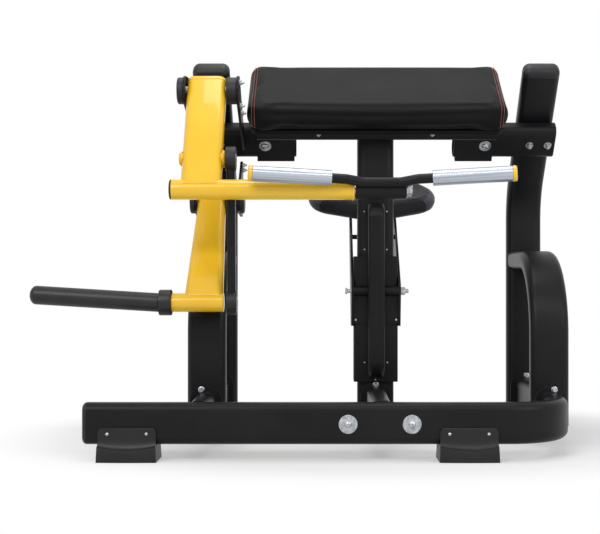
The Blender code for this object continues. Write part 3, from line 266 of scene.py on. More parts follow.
# End plug of the front tube: moulded black nylon, pressed in, with a fine spark-eroded grain of about 1 mm.
moulded_nylon = grained("moulded_nylon", 9.0, "#17171A", "#1E1E22", ("Voronoi", 900.0, 0.0), (0.36, 0.50), 0.0002,
                        Roughness=0.5, Specular_IOR_Level=0.34)


def plug(name, node, place, heading, side, wide, thin, rise, edge, radius=0.024, hide=True):
    """Domed plug: a straight skirt, then rings drawn in by edge * (1 - cos) as they rise by edge * sin."""
    heading = unit(heading)
    turn = np.linspace(0, pi / 2, 9)
    inset = np.concatenate([[0.0035, 0.0005, 0], edge * (1 - np.cos(turn)), [edge + 0.006]])
    dome = rise - 0.0015 - edge + edge * np.sin(turn)
    level = [0.0003, 0.0003, 0.0012, *dome, rise - 0.0004, rise]
    rings = [rounded(wide - 2 * i, thin - 2 * min(i, thin / 2 - 0.003), max(radius - i, 0.0025)) for i in inset]
    rings.append(rings[-1] * 0)
    up = np.cross(side, heading)
    points = np.stack([laid(r, place + heading * h, side, up) for r, h in zip(rings, level)])
    faces = quads(*points.shape[:2], False, True).tolist() + [list(range(points.shape[1]))]
    return make(name, points, faces, moulded_nylon, node, hide)


plug("front_tube_plug_moulding", "front_tube_plug", (-0.850, FRONT_Y, BASE_Z), -X, Z, 0.120, 0.060, 0.014, 0.012)

# Front bolts: M16 button heads with a hex socket on wide plain washers, zinc plated with a cloudy skin.
zinc_plate = grained("zinc_plate", 90.0, "#9A9DA1", "#C4C7CB", None, (0.22, 0.42), Metallic=1.0, Roughness=0.3)


def turned_head(name, node, seat, direction, rows, finish, hide=False, sides=48, closed=False):
    """Rings (radius, height, hexed) about a line; a hexed ring's radius is its half width over the cosine
    of the angle from the middle of the nearest flat."""
    direction = unit(direction)
    across = unit(np.cross(direction, Z if abs(direction[2]) < 0.9 else X))
    angle = np.arange(sides) * 2 * pi / sides
    flat = 1 / np.cos((angle + pi / 6) % (pi / 3) - pi / 6)
    ring = np.cos(angle)[:, None] * across + np.sin(angle)[:, None] * np.cross(direction, across)
    table = np.array(rows, float)
    reach = table[:, :1] * np.where(table[:, 2:] > 0, flat[None], 1.0)
    points = np.asarray(seat, float) + direction * table[:, 1][:, None, None] + ring[None] * reach[:, :, None]
    return make(name, points, quads(*points.shape[:2], closed, True), finish, node, hide)


def washer_bolt(name, node, seat, direction, washer, head, tall, hide=True):
    """Button head with a socket on a washer, in one turned outline."""
    rows = [(0, 0.0003, 0), (washer - 0.0006, 0.0003, 0), (washer, 0.0009, 0), (washer, 0.0022, 0),
            (washer - 0.0006, 0.0028, 0), (head + 0.0004, 0.0028, 0), (head, 0.0030, 0)]
    rows += [(head * cos(a), 0.0030 + tall * sin(a), 0) for a in np.linspace(0.12, 1.10, 7)]
    rows += [(head * 0.42, 0.0030 + tall * 0.93, 0), (head * 0.36, 0.0030 + tall * 0.90, 1),
             (head * 0.34, 0.0030 + tall * 0.35, 1), (0, 0.0030 + tall * 0.25, 0)]
    turned_head(name, node, seat, direction, rows, zinc_plate, hide)


for side, x in (("left", -0.100), ("right", 0.083)):
    washer_bolt(side + "_front_bolt_plated", side + "_front_bolt", (x, -0.530, BASE_Z), -Y, 0.027, 0.0105, 0.0068)


# Base tubes behind it: short lengths of the same tube, each with a welded oval flange 8 mm thick.
# One hex bolt with a flanged head goes through the top of each flange.
def slab(name, node, outline, origin, first, second, thick, finish, hide=True, ease=0.001):
    """Flat outline given in two directions, with its thickness shared to both sides of the origin."""
    half = unit(np.cross(first, second)) * thick / 2
    flat = laid(outline, origin, first, second)
    return make(name, np.stack([flat - half, flat + half]), capped(2, len(outline)), finish, node, hide, ease)


def hex_bolt(name, node, seat):
    """Hex head, 15 mm across its flats, with its 30 degree chamfer on a round flange."""
    half, tall, washer, thin = 0.0075, 0.0115, 0.0100, 0.0022
    rows = [(0, 0, 0), (washer, 0, 0), (washer, thin * 0.6, 0), (washer * 0.86, thin, 0), (half, thin, 1),
            (half, tall * 0.84, 1), (half * 0.99, tall * 0.93, 0), (half * 0.86, tall, 0), (0, tall, 0)]
    turned_head(name, node, seat, -Y, rows, zinc_plate)


def bead(name, node, points, size, closed=False, finish=powder_coat):
    """Weld bead: a round rope of metal along a line, its radius rippling by a tenth every 4 mm."""
    points = np.asarray(points, float)
    if closed:
        points = np.concatenate([points, points[:1]])
    length = np.concatenate([[0], np.cumsum(np.linalg.norm(np.diff(points, axis=0), axis=1))])
    at = np.linspace(0, length[-1], max(int(length[-1] / 0.0016), 8))
    line = np.stack([np.interp(at, length, points[:, k]) for k in range(3)], -1)
    heading = np.gradient(line, axis=0)
    heading /= np.linalg.norm(heading, axis=1)[:, None]
    lead = unit(np.cross(heading[0], heading[len(heading) // 3])) if closed else Z
    if abs(heading[0] @ lead) > 0.9:
        lead = X
    across = np.cross(heading, lead)
    across /= np.linalg.norm(across, axis=1)[:, None]
    other = np.cross(heading, across)
    angle = np.arange(8) * pi / 4
    swell = size * (1 + 0.10 * np.sin(at * 2 * pi / 0.004))
    if not closed:
        swell[[0, -1]] *= 0.05
    ring = np.cos(angle)[None, :, None] * across[:, None] + np.sin(angle)[None, :, None] * other[:, None]
    rope = line[:, None] + ring * swell[:, None, None]
    if closed:
        return make(name, rope[:-1], quads(len(rope) - 1, 8, True, True), finish, node, False)
    return make(name, rope, capped(len(rope), 8), finish, node, False)


def ring_weld(name, node, size, outline, origin, first, second, finish=powder_coat):
    """Bead round a tube of the given outline where it meets another piece."""
    bead(name, node, laid(rounded(*outline), origin, first, second), size, True, finish)


def flange(name, node, x, face_y, outboard):
    """Oval plate on the tube's end, its bolt a little off the middle, and the weld round the tube."""
    outline = rounded(0.100, 0.142, 0.044)
    slab(name, node, outline, (x, face_y + 0.004, 0.117), X, Z, 0.0079, powder_coat, False, 0.0015)
    hex_bolt(name + "_bolt", node, (x + outboard, face_y, 0.1765))
    ring_weld(name + "_weld", node, 0.0022, WELD_LINE, (x, face_y, BASE_Z), Z, X)


flange("right_front_flange", "front_base_tube", SIDE_X, FLANGE_LEG_Y, 0.010)
frame_tube("left_base_tube", [(-SIDE_X, -0.4697, BASE_Z), (-SIDE_X, FLANGE_LEG_Y, BASE_Z)], Z)
flange("left_front_flange", "left_base_tube", -SIDE_X, FLANGE_LEG_Y, -0.014)
for side, sign in SIDES:
    x = sign * SIDE_X
    frame_tube(side + "_side_tube", [(x, -0.1737, BASE_Z), (x, FLANGE_UPRIGHT_Y, BASE_Z)], Z)
    flange(side + "_rear_flange", side + "_side_tube", x, FLANGE_UPRIGHT_Y, 0.006)


# Centre tube to the column: a smaller tube with a joint plate against the front tube and a flange at the column.
def dressed(node, ease, finish=powder_coat):
    """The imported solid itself: its triangles merged, its flat faces joined up and its sharp edges eased."""
    bm = bmesh.new()
    bm.from_mesh(frame["nodes"][node].data)
    bmesh.ops.remove_doubles(bm, verts=bm.verts, dist=0.00001)
    bmesh.ops.dissolve_limit(bm, angle_limit=radians(1), verts=bm.verts, edges=bm.edges)
    mesh = bpy.data.meshes.new(node + "_finished")
    bm.to_mesh(mesh)
    bm.free()
    joined(node + "_finished", mesh, finish, node, True, ease)


dressed("centre_base_tube", 0.001)
hex_bolt("column_flange_bolt", "centre_base_tube", (0, -0.0383, 0.1725))
ring_weld("centre_tube_front_weld", "centre_base_tube", 0.0022, (0.0975, 0.0595, 0.020), (0, -0.4590, 0.1175), Z, X)

# Front feet: injection moulded rubber shoes. A lip screwed to the tube's face runs down over a hollow curve to a
# ledge that dips in the middle, and the block below it flares a little to the floor.
foot_rubber = grained("foot_rubber", 12.0, "#121214", "#18181A", ("Noise", 190.0, 3.0), (0.32, 0.46), 0.0002,
                      Roughness=0.45, Specular_IOR_Level=0.34)


def front_foot(node, middle_x):
    """A closed (y, z) outline carried across x. The ledge's height is z0 - dip * (1 - u^2), the lip's top falls
    round its corners by a quarter circle, and the half width grows from the lip down to the floor."""
    u = np.sin(np.linspace(-pi / 2, pi / 2, 49))
    half, corner, curve_top, reach = 0.083, 0.011, 0.0700, 0.0110
    face, lip, back, tube_low = -0.5303, -0.5358, -0.4370, 0.0472
    past = np.clip(np.abs(u * half) - (half - corner), 0, corner)
    top = 0.0970 - corner + np.sqrt(np.clip(corner ** 2 - past ** 2, 0, None))
    ledge = 0.0450 - 0.0090 * (1 - u ** 2)
    bulge = 0.0030 * (1 - u ** 2)
    edge_y = lip - reach - bulge
    outline = [(face, top), (lip + 0.0015, top), (lip, top - 0.0015)]
    outline += [(lip - (reach + bulge) * (1 - cos(a)), curve_top + (ledge - curve_top) * sin(a))
                for a in np.linspace(0, pi / 2, 9)]
    outline += [(edge_y - 0.0016, ledge - 0.0006), (edge_y - 0.0022, ledge - 0.0024), (edge_y - 0.0040, 0.0040),
                (edge_y - 0.0034, 0.0008), (edge_y - 0.0010, 0.0), (back + 0.003, 0.0), (back + 0.004, 0.0020),
                (back, 0.0440), (back, tube_low), (face, tube_low)]
    flare = 1 + 0.035 * np.clip((0.060 - np.array([np.mean(z) for _, z in outline])) / 0.060, 0, 1)
    points = np.stack([np.stack(np.broadcast_arrays(middle_x + u * half * f, y, z), -1)
                       for (y, z), f in zip(outline, flare)])
    count, columns = points.shape[:2]
    faces = quads(count, columns, True, False).tolist()
    faces += [[i * columns for i in range(count)], [i * columns + columns - 1 for i in range(count)][::-1]]
    make(node + "_shoe", points, faces, foot_rubber, node, True, 0.0, 32)
    rows = [(0, 0, 0), (0.0052, 0, 0), (0.0050, 0.0012, 0), (0.0040, 0.0024, 0), (0.0021, 0.0031, 0),
            (0.0018, 0.0030, 1), (0.0017, 0.0014, 1), (0, 0.0012, 0)]
    for side, sign in SIDES:
        seat = (middle_x + sign * 0.0560, lip, 0.0800)
        turned_head(node + "_" + side + "_screw", node, seat, -Y, rows, zinc_plate, False, 24)


front_foot("left_front_foot", -0.732)
front_foot("right_front_foot", 0.246)
for side, _ in SIDES:
    dressed(side + "_rear_foot", 0.002, foot_rubber)

# Legs and uprights: full tubes again. The legs rise and bend back, the uprights lean 42 degrees forward over a
# bend at the top, and a domed nylon cap closes each.
LEAN = radians(42)
ALONG = np.array([0, -sin(LEAN), cos(LEAN)])
OUTWARD = np.array([0, -cos(LEAN), -sin(LEAN)])
KNEE_Z, UPRIGHT_TOP_Z = 0.790 + 0.030 * tan(LEAN / 2), 1.184
LEG_Y, LEG_TOP, UPRIGHT_Y = -0.204, 0.580, 0.283
for side, sign in SIDES:
    x = sign * SIDE_X
    frame_tube(side + "_leg", [(x, LEG_Y, 0.060), (x, LEG_Y, LEG_TOP), (x, 0.2527, LEG_TOP)], X, 0.235)
    knee = np.array([x, UPRIGHT_Y, KNEE_Z])
    end = knee + ALONG * (UPRIGHT_TOP_Z - KNEE_Z) / cos(LEAN)
    frame_tube(side + "_upright", [(x, UPRIGHT_Y, 0.0405), knee, end], X, 0.220)
    plug(side + "_upright_cap_moulding", side + "_upright_cap", end, ALONG, X, 0.120, 0.060, 0.034, 0.024)
    ring_weld(side + "_leg_weld", side + "_leg", 0.0024, WELD_LINE, (x, 0.2515, LEG_TOP), X, Z)

# Crossbars: short tubes bolted across the front of the uprights, with a nylon plug in the open end.
# Two studs with washers and hex nuts hold each one.
low_mid = np.array([0, 0.040, 0.982])
face_mid = np.array([0, 0.253, 0.790])
CROSS_MID = low_mid + OUTWARD * (0.0303 - (low_mid - face_mid) @ OUTWARD)
rows = [(0, 0, 0), (0.0125, 0, 0), (0.0125, 0.0022, 0), (0.0088, 0.0022, 0), (0.0082, 0.0026, 1), (0.0082, 0.0098, 1),
        (0.0080, 0.0108, 0), (0.0052, 0.0110, 0), (0.0050, 0.0180, 0), (0.0040, 0.0190, 0), (0, 0.0190, 0)]
for side, sign in SIDES:
    node, end = side + "_crossbar", CROSS_MID + X * sign * 0.594
    frame_tube(node, [CROSS_MID + X * sign * 0.262, end], ALONG)
    plug(node + "_plug", node, end, X * sign, ALONG, 0.118, 0.058, 0.004, 0.002, 0.023, False)
    for mark, x in (("inner", 0.5116), ("outer", 0.5720)):
        seat = CROSS_MID + OUTWARD * 0.0300 + X * sign * x
        turned_head(node + "_" + mark + "_nut", node, seat, OUTWARD, rows, zinc_plate)

# Arm pad: foam under embossed upholstery vinyl with pebbles of about 2 mm, sewn from a long middle panel and two
# end panels. The foam is pressed out by a short cloth run, and the double seams are sewn in orange thread.
PAD_SLOPE = radians(35)
PAD_UP = np.array([0, -sin(PAD_SLOPE), cos(PAD_SLOPE)])
PAD_DOWN = np.array([0, -cos(PAD_SLOPE), -sin(PAD_SLOPE)])
PAD_WIDE, PAD_LONG, PAD_THICK = 0.838, 0.315, 0.089
PAD_BASE = np.array([0, -0.211, 1.054]) - PAD_DOWN * PAD_LONG / 2 - PAD_UP * PAD_THICK
SEAM_X = 0.3925


def vinyl(name, dark, light, low, high, seam=None):
    """Embossed vinyl, with painted shade in its pebble grooves and soft folds. A seam is a fold 3 mm wide, the distance
    to the plane |x| = seam, with painted shade in its crease.
    """
    made, tree, shader, place = new_finish(name, Roughness=0.5, Specular_IOR_Level=0.10)
    height = add(tree, "TexVoronoi", {"Vector": place}, feature="DISTANCE_TO_EDGE", Scale=430.0)
    fold_shade_noise = add(tree, "TexNoise", {"Vector": place}, Scale=7.0, Detail=3.0)
    # The pebbles are painted darker towards their edges: painted shade in the grooves between them.
    base = ramped(tree, height, dark, light, 0.0, 0.22)
    # The soft noise darkens the vinyl in broad patches by up to about a quarter: painted shade of soft folds. It also
    # varies the roughness.
    shade = add(tree, "Mix", {0: fold_shade_noise, 6: base, 7: linear("#DCDCDC")}, data_type="RGBA", blend_type="MULTIPLY")
    colour = shade.outputs[2]
    if seam:
        side = add(tree, "Math", {0: add(tree, "SeparateXYZ", {"Vector": place})}, operation="ABSOLUTE")
        off = add(tree, "Math", {0: side, 1: seam}, operation="SUBTRACT")
        near = add(tree, "Math", {0: off}, operation="ABSOLUTE")
        fold = add(tree, "MapRange", {"Value": near}, interpolation_type="SMOOTHSTEP", From_Max=0.0016)
        # The seam's crease is painted near black: painted shade in the fold.
        crease_shade = add(tree, "Mix", {0: fold, 6: linear("#0B0B0C"), 7: colour}, data_type="RGBA", blend_type="MIX")
        colour = crease_shade.outputs[2]
        height = add(tree, "Math", {0: height, 1: fold}, operation="ADD")
    link(tree, colour, shader.inputs["Base Color"])
    roughened(tree, shader, fold_shade_noise, low, high)
    embossed(tree, shader, height, 0.0005, 0.6)
    return made


pad_vinyl = vinyl("pad_vinyl", "#0E0E0F", "#161617", 0.40, 0.52, SEAM_X)


def corners_of(mesh):
    """The mesh's points as rows."""
    flat = np.empty(len(mesh.vertices) * 3)
    mesh.vertices.foreach_get("co", flat)
    return flat.reshape(-1, 3)


def swollen(name, points, faces, voxel, most, low, up):
    """Remeshes a closed shape evenly and lets Cloth with pressure press it out. The move is evened out 24 times,
    half its own and half the mean of its neighbours, so that no wrinkle stays. Each point then keeps at most the
    given share of it, start + move * min(1, most / |move|), and what rests on the base is laid flat."""
    foam = placed(name + "_foam", meshed(name + "_foam", points, faces, 0.00001))
    even = foam.modifiers.new("even", "REMESH")
    even.mode = "VOXEL"
    even.voxel_size = voxel
    mesh = bpy.data.meshes.new_from_object(foam.evaluated_get(bpy.context.evaluated_depsgraph_get()))
    foam.modifiers.clear()
    foam.data = mesh
    start = corners_of(mesh)
    moved = start.copy()
    cloth = foam.modifiers.new("pressed", "CLOTH")
    stiffness = {"tension_stiffness": 40, "compression_stiffness": 40, "bending_stiffness": 6}
    for key, value in {"use_pressure": True, "uniform_pressure_force": 4.0, "quality": 4, **stiffness}.items():
        setattr(cloth.settings, key, value)
    cloth.settings.effector_weights.gravity = 0.0
    cloth.point_cache.frame_start = 1
    cloth.point_cache.frame_end = 20
    for count in range(1, 21):
        bpy.context.scene.frame_set(count)
    moved = corners_of(foam.evaluated_get(bpy.context.evaluated_depsgraph_get()).data)
    bpy.context.scene.frame_set(1)
    move = moved - start
    ends = np.empty(len(mesh.edges) * 2, int)
    mesh.edges.foreach_get("vertices", ends)
    ends = ends.reshape(-1, 2)
    links = np.bincount(ends.ravel(), minlength=len(start))[:, None]
    for _ in range(24):
        around = np.zeros_like(move)
        np.add.at(around, ends[:, 0], move[ends[:, 1]])
        np.add.at(around, ends[:, 1], move[ends[:, 0]])
        move = 0.5 * move + 0.5 * around / links
    far = np.linalg.norm(move, axis=1)[:, None]
    result = start + move * np.minimum(1, most / np.maximum(far, 1e-9))
    result -= np.minimum((result - low) @ up, 0)[:, None] * up
    bpy.data.objects.remove(foam)
    return mesh, result


def rings_of(layers, shape, origin, across, down, up, thick):
    """Stack of outlines: origin + across * x + down * y + up * thick * share, for each (share, inset x, inset y)."""
    points = np.stack([laid(shape(ix, iy), origin, across, down) + up * thick * share for share, ix, iy in layers])
    return points, capped(*points.shape[:2])


def covered(name, node, mesh, shape, finish):
    """A pressed cover in its final shape, smoothed once, and a tree of its faces to lay thread and piping on."""
    mesh.vertices.foreach_set("co", shape.ravel())
    mesh.update()
    made = joined(name, mesh, finish, node, True, 0.0, 180)
    smooth = made.modifiers.new("smooth_cover", "SUBSURF")
    smooth.levels = smooth.render_levels = 1
    return made, BVHTree.FromPolygons([tuple(v) for v in shape], [tuple(p.vertices) for p in mesh.polygons])


def pad_outline(inset_x, inset_y):
    return rounded(PAD_WIDE - 0.006 - 2 * inset_x, PAD_LONG - 0.006 - 2 * inset_y, max(0.026 - inset_x * 0.3, 0.008))


pad_layers = [(0.00, 0.046, 0.016), (0.03, 0.036, 0.008), (0.09, 0.023, 0.003), (0.18, 0.012, 0.001), (0.30, 0.005, 0),
              (0.45, 0.001, 0), (0.62, 0.0, 0.0), (0.76, 0.002, 0.0), (0.86, 0.006, 0.0), (0.93, 0.012, 0.001),
              (0.975, 0.021, 0.004), (0.99, 0.034, 0.010)]
points, faces = rings_of(pad_layers, pad_outline, PAD_BASE, X, PAD_DOWN, PAD_UP, PAD_THICK)
pad_mesh, shape = swollen("arm_pad_cover", points, faces, 0.0055, 0.006, PAD_BASE, PAD_UP)
tuck = np.exp(-((np.abs(shape[:, 0]) - SEAM_X) / 0.0045) ** 2)
local = shape - (PAD_BASE + PAD_UP * PAD_THICK / 2)
out = local - np.outer(local @ X, X)
out /= np.maximum(np.linalg.norm(out, axis=1), 1e-9)[:, None]
down, up = local @ PAD_DOWN, local @ PAD_UP
sag = np.clip(np.cos(pi * local[:, 0] / 0.80), 0, 1) * np.clip((down - 0.02) / 0.13, 0, 1) ** 2
sag = sag * np.clip((up + 0.025) / 0.055, 0, 1)
along_front = np.exp(-((down - (PAD_LONG / 2 - 0.010)) / 0.0040) ** 2) * (up > PAD_THICK * 0.25)
shape = shape - out * (0.0014 * tuck)[:, None] - PAD_UP * (0.0007 * along_front + 0.013 * sag)[:, None]
arm_pad, cover = covered("arm_pad_cover", "arm_pad", pad_mesh, shape, pad_vinyl)

# Thread of the double seams: bonded polyester, 1 mm thick, in stitches 5 mm long that sink at each end.
orange_thread = grained("orange_thread", 900.0, "#A65A42", "#CB7F63", Roughness=0.65)


def stitches(name, node, line, finish, pitch=0.0066, share=0.80, size=0.00075):
    """Short threads along a line: each a tube of seven rings whose radius and height follow sin(pi * t)."""
    line = np.asarray(line)
    length = np.concatenate([[0], np.cumsum(np.linalg.norm(np.diff(line[:, :3], axis=0), axis=1))])
    start = np.arange(0.002, length[-1] - pitch, pitch)
    t = np.linspace(0, 1, 7)
    at = start[:, None] + t[None, :] * pitch * share
    sample = np.stack([np.interp(at, length, line[:, k]) for k in range(6)], -1)
    spot, lift = sample[..., :3], sample[..., 3:]
    lift /= np.linalg.norm(lift, axis=-1)[..., None]
    rise = np.sin(pi * t)[None, :, None]
    spot = spot + lift * (0.0010 * rise - 0.0003)
    heading = spot[:, -1:] - spot[:, :1]
    heading = heading / np.linalg.norm(heading, axis=-1)[..., None]
    cross = np.cross(lift, heading)
    angle = (np.arange(6) * pi / 3)[None, None, :, None]
    ring = np.cos(angle) * cross[:, :, None] + np.sin(angle) * lift[:, :, None]
    tubes = spot[:, :, None] + ring * size * (0.25 + 0.75 * np.sqrt(rise))[..., None]
    ends = np.array([[0, 1, 2, 3], [0, 3, 4, 5], [36, 39, 38, 37], [36, 41, 40, 39]])
    one = np.concatenate([quads(7, 6, False, True), ends])
    faces = (one[None] + np.arange(len(start))[:, None, None] * 42).reshape(-1, 4)
    return make(name, tubes, faces, finish, node, False)


def over_pad(x):
    """Line over the pad at one x: a rounded rectangle about the pad's section, dropped on the cover."""
    section = rounded(PAD_LONG + 0.02, PAD_THICK + 0.02, 0.03, 10)
    front = section[section[:, 1] > -PAD_THICK * 0.40]
    path = front[np.argsort(-np.arctan2(front[:, 1], front[:, 0]))]
    step = np.linspace(0, len(path) - 1, 160)
    dense = np.stack([np.interp(step, np.arange(len(path)), path[:, k]) for k in (0, 1)], -1)
    middle = PAD_BASE + PAD_UP * PAD_THICK / 2 + X * x
    spots = []
    for v, n in dense:
        found, normal, _, _ = cover.find_nearest(Vector(middle + PAD_DOWN * v + PAD_UP * n))
        spots.append([x, found.y, found.z, *normal])
    return spots


for side, sign in SIDES:
    for mark, shift in (("inner", -0.0042), ("outer", 0.0042)):
        stitches("pad_" + side + "_" + mark + "_stitches", "arm_pad", over_pad(sign * (SEAM_X + shift)), orange_thread)

# Black seam thread along the front edge: two close rows 5.5 mm apart that hold the front fold.
black_thread = grained("black_thread", 900.0, "#2B2B2D", "#3A3A3D", Roughness=0.6)
for mark, v in (("upper", 0.1445), ("lower", 0.1500)):
    spots = []
    for x in np.linspace(-SEAM_X + 0.012, SEAM_X - 0.012, 240):
        aim = PAD_BASE + PAD_UP * (PAD_THICK + 0.004) + PAD_DOWN * v + X * x
        found, normal, _, _ = cover.find_nearest(Vector(aim))
        spots.append([*found, *normal])
    stitches("pad_front_" + mark + "_stitches", "arm_pad", spots, black_thread, 0.0060, 0.72, 0.00040)

# Pad board and carrier: 15 mm plywood wrapped in the same vinyl, screwed down on a black steel channel.
# Two bent steel straps wrap the crossbars, each held by one button head bolt on a washer.
dressed("arm_pad_board", 0.002, pad_vinyl)
dressed("pad_carrier", 0.0012)
RAIL_MID = PAD_BASE - PAD_UP * (0.0003 + 0.015 + 0.0003 + 0.015) + PAD_DOWN * 0.040
rows = [(0, 0, 0), (0.0072, 0, 0), (0.0066, 0.0014, 0), (0.0044, 0.0026, 0), (0.0026, 0.0030, 0), (0.0020, 0.0030, 1),
        (0.0018, 0.0012, 1), (0, 0.0010, 0)]
for mark, x in (("left", -0.186), ("right", 0.178)):
    seat = RAIL_MID + PAD_DOWN * 0.085 + PAD_UP * 0.0070 + X * x
    turned_head("rail_" + mark + "_screw", "pad_carrier", seat, PAD_DOWN, rows, zinc_plate, False, 24)
for side, sign in SIDES:
    seat = CROSS_MID + OUTWARD * (0.0303 + 0.004) + X * sign * 0.364
    washer_bolt(side + "_pad_bolt_plated", side + "_pad_bolt", seat, OUTWARD, 0.020, 0.0110, 0.0070)

# Seat column: a straight length of the frame tube on a foot plate, cut to the slope of the pad's channel.
# A bent brace of 53 by 36 mm tube is welded in front of it, and a pressed steel sleeve slides over it.
COLUMN_TOP, BRACE_TOP, BRACE_LOW, SHROUD_TOP, SHROUD_LOW = 1.0362, 0.748, 0.216, 0.592, 0.182
slab("column_foot_plate", "column", rounded(0.200, 0.150, 0.015), (0, 0, 0.006), X, Y, 0.0120, powder_coat, False)
outer = rounded(*TUBE)
inner = rounded(TUBE[0] - 2 * WALL, TUBE[1] - 2 * WALL, TUBE[2] - WALL)
levels = [(outer, 0.010), (outer, COLUMN_TOP + outer[:, 1] * tan(PAD_SLOPE)),
          (inner, COLUMN_TOP + inner[:, 1] * tan(PAD_SLOPE)), (inner, 0.010)]
skin = np.stack([np.stack(np.broadcast_arrays(*ring.T, z), -1) for ring, z in levels])
make("column_steel", skin, quads(*skin.shape[:2], True, True), powder_coat, "column")
ring_weld("column_foot_weld", "column", 0.003, WELD_LINE, (0, 0, 0.0125), X, Y)
frame_tube("column_brace", [(0, -0.0303, BRACE_TOP), (0, -0.100, BRACE_TOP), (0, -0.100, BRACE_LOW),
                            (0, -0.0453, BRACE_LOW)], X, 0.034, (0.053, 0.036, 0.013))
for mark, z, y in (("top", BRACE_TOP, -0.0315), ("low", BRACE_LOW, -0.0465)):
    ring_weld("brace_" + mark + "_weld", "column_brace", 0.0022, (0.0528, 0.0358, 0.013), (0, y, z), X, Z)
outer, inner = rounded(0.144, 0.090, 0.006), rounded(0.1206, 0.0606, 0.0243)
levels = ((outer, SHROUD_LOW), (outer, SHROUD_TOP), (inner, SHROUD_TOP), (inner, SHROUD_LOW))
skin = np.stack([np.stack(np.broadcast_arrays(*ring.T, z), -1) for ring, z in levels])
make("slide_shroud_steel", skin, quads(*skin.shape[:2], True, True), powder_coat, "slide_shroud", True, 0.0015)


def small_screw(name, node, seat, direction, size=0.0042):
    """Small button screw: a low dome with a socket."""
    rows = [(0, 0, 0), (size, 0, 0), (size * 0.9, size * 0.22, 0), (size * 0.62, size * 0.40, 0),
            (size * 0.44, size * 0.42, 1), (size * 0.40, size * 0.1, 1), (0, size * 0.08, 0)]
    turned_head(name, node, seat, direction, rows, zinc_plate, False, 24)


for count, (x, z) in enumerate(((-0.0365, 0.739), (0.0365, 0.739), (-0.0365, 0.614), (0.0365, 0.614))):
    small_screw("column_screw_" + str(count), "column", (x, -0.0300, z), -Y, 0.0028)
for count, (x, z) in enumerate(((-0.0370, 0.245), (0.0370, 0.245), (-0.0015, 0.1895))):
    small_screw("shroud_screw_" + str(count), "slide_shroud", (x, -0.0450, z), -Y, 0.0030)

# Elbow pivot: two steel plates hold the shaft of the lever in black nylon bearing housings.
# The right plate is bolted through with zinc screws whose ends stand out of its right face.
for side, _ in SIDES:
    dressed(side + "_elbow_plate", 0.0012)
ELBOW = np.array([0, -0.240, 1.103])


def eased(profile, radius, steps=4):
    """Rounds each inner corner of a (radius, distance) line with a quadratic curve."""
    profile = [np.asarray(p, float) for p in profile]
    line = [profile[0]]
    for before, corner, after in zip(profile, profile[1:], profile[2:]):
        a, b = before - corner, after - corner
        reach = min(radius, 0.45 * np.linalg.norm(a), 0.45 * np.linalg.norm(b))
        start, end = corner + unit(a) * reach, corner + unit(b) * reach
        for t in np.linspace(0, 1, steps + 1):
            line.append(start * (1 - t) ** 2 + corner * 2 * t * (1 - t) + end * t ** 2)
    line.append(profile[-1])
    return np.array(line)


def turned(name, node, start, direction, profile, finish, ease=0.0008, hide=True):
    """A (radius, distance) profile turned about a line. With a bore, the profile closes on itself."""
    line = eased(profile, ease) if ease else np.array(profile, float)
    rows = np.column_stack([line, np.zeros(len(line))])
    return turned_head(name, node, start, direction, rows, finish, hide, 72, line[0, 0] > 0 and line[-1, 0] > 0)


def sleeve(bore, radius, long):
    """Profile of a plain round length, with or without a bore."""
    return [(bore, 0), (radius, 0), (radius, long), (bore, long)]


def at(x, spot):
    """The spot's y and z at another x."""
    return np.array([x, spot[1], spot[2]])


ARM_X, ARM_WIDE, HOUSING, BORE = -0.532, 0.120, 0.0415, 0.0153
arm_left, arm_right = ARM_X - ARM_WIDE / 2, ARM_X + ARM_WIDE / 2
plate_left, plate_right = -0.6033, -0.4390
long = plate_right - 0.0003 - ARM_X - ARM_WIDE / 2 - 0.0015
turned("left_elbow_housing_cap", "left_elbow_housing", at(plate_left - 0.0003, ELBOW), -X,
       [(BORE, 0), (HOUSING, 0), (HOUSING, 0.0155), (HOUSING - 0.0035, 0.019), (0, 0.019)], moulded_nylon, 0.0015)
turned("right_elbow_housing_ring", "right_elbow_housing", at(arm_right + 0.0015, ELBOW), X,
       [(BORE, 0), (HOUSING - 0.001, 0), (HOUSING, 0.001), (HOUSING, long), (BORE, long)], moulded_nylon, 0.0012)
turned("elbow_axle_steel", "elbow_axle", at(-0.615, ELBOW), X, sleeve(0, 0.015, 0.183), zinc_plate, 0.001)


def stud(name, node, seat, direction, flats=0.0130, long=0.0150):
    """Hex nut on a washer, with the end of the bolt standing out of it."""
    rows = [(0, 0, 0), (flats * 0.80, 0, 0), (flats * 0.80, 0.0016, 0), (flats / 2, 0.0016, 1), (flats / 2, 0.0076, 1),
            (flats * 0.46, 0.0084, 0), (flats * 0.30, 0.0084, 0), (flats * 0.30, long - 0.001, 0),
            (flats * 0.24, long, 0), (0, long, 0)]
    turned_head(name, node, seat, direction, rows, zinc_plate)


for count, (y, z) in enumerate(((-0.236, 1.129), (-0.202, 1.062), (-0.160, 1.044))):
    stud("elbow_stud_" + str(count), "right_elbow_plate", (-0.4310, y, z), X)

# Handle arm: 120 by 60 mm steel tube with a welded end plate, sprayed in gloss yellow enamel under clear coat.
# It mirrors the lamps in narrow streaks and is welded to the round handle tube at its foot.
yellow_enamel = grained("yellow_enamel", 5.0, "#EFBC20", "#F4C52C", ("Noise", 260.0, 1.0), (0.24, 0.34), 0.0001,
                        Roughness=0.3, Coat_Weight=0.55, Coat_Roughness=0.06, Specular_IOR_Level=0.3)
ARM_DOWN = np.array([0, -0.5, -cos(radians(30))])
HANDLE = np.array([0, -0.240 - 0.318 * tan(radians(30)), 0.785])
LINK_TOP = np.array([0, -0.240 - 0.223 * tan(radians(30)), 0.880])


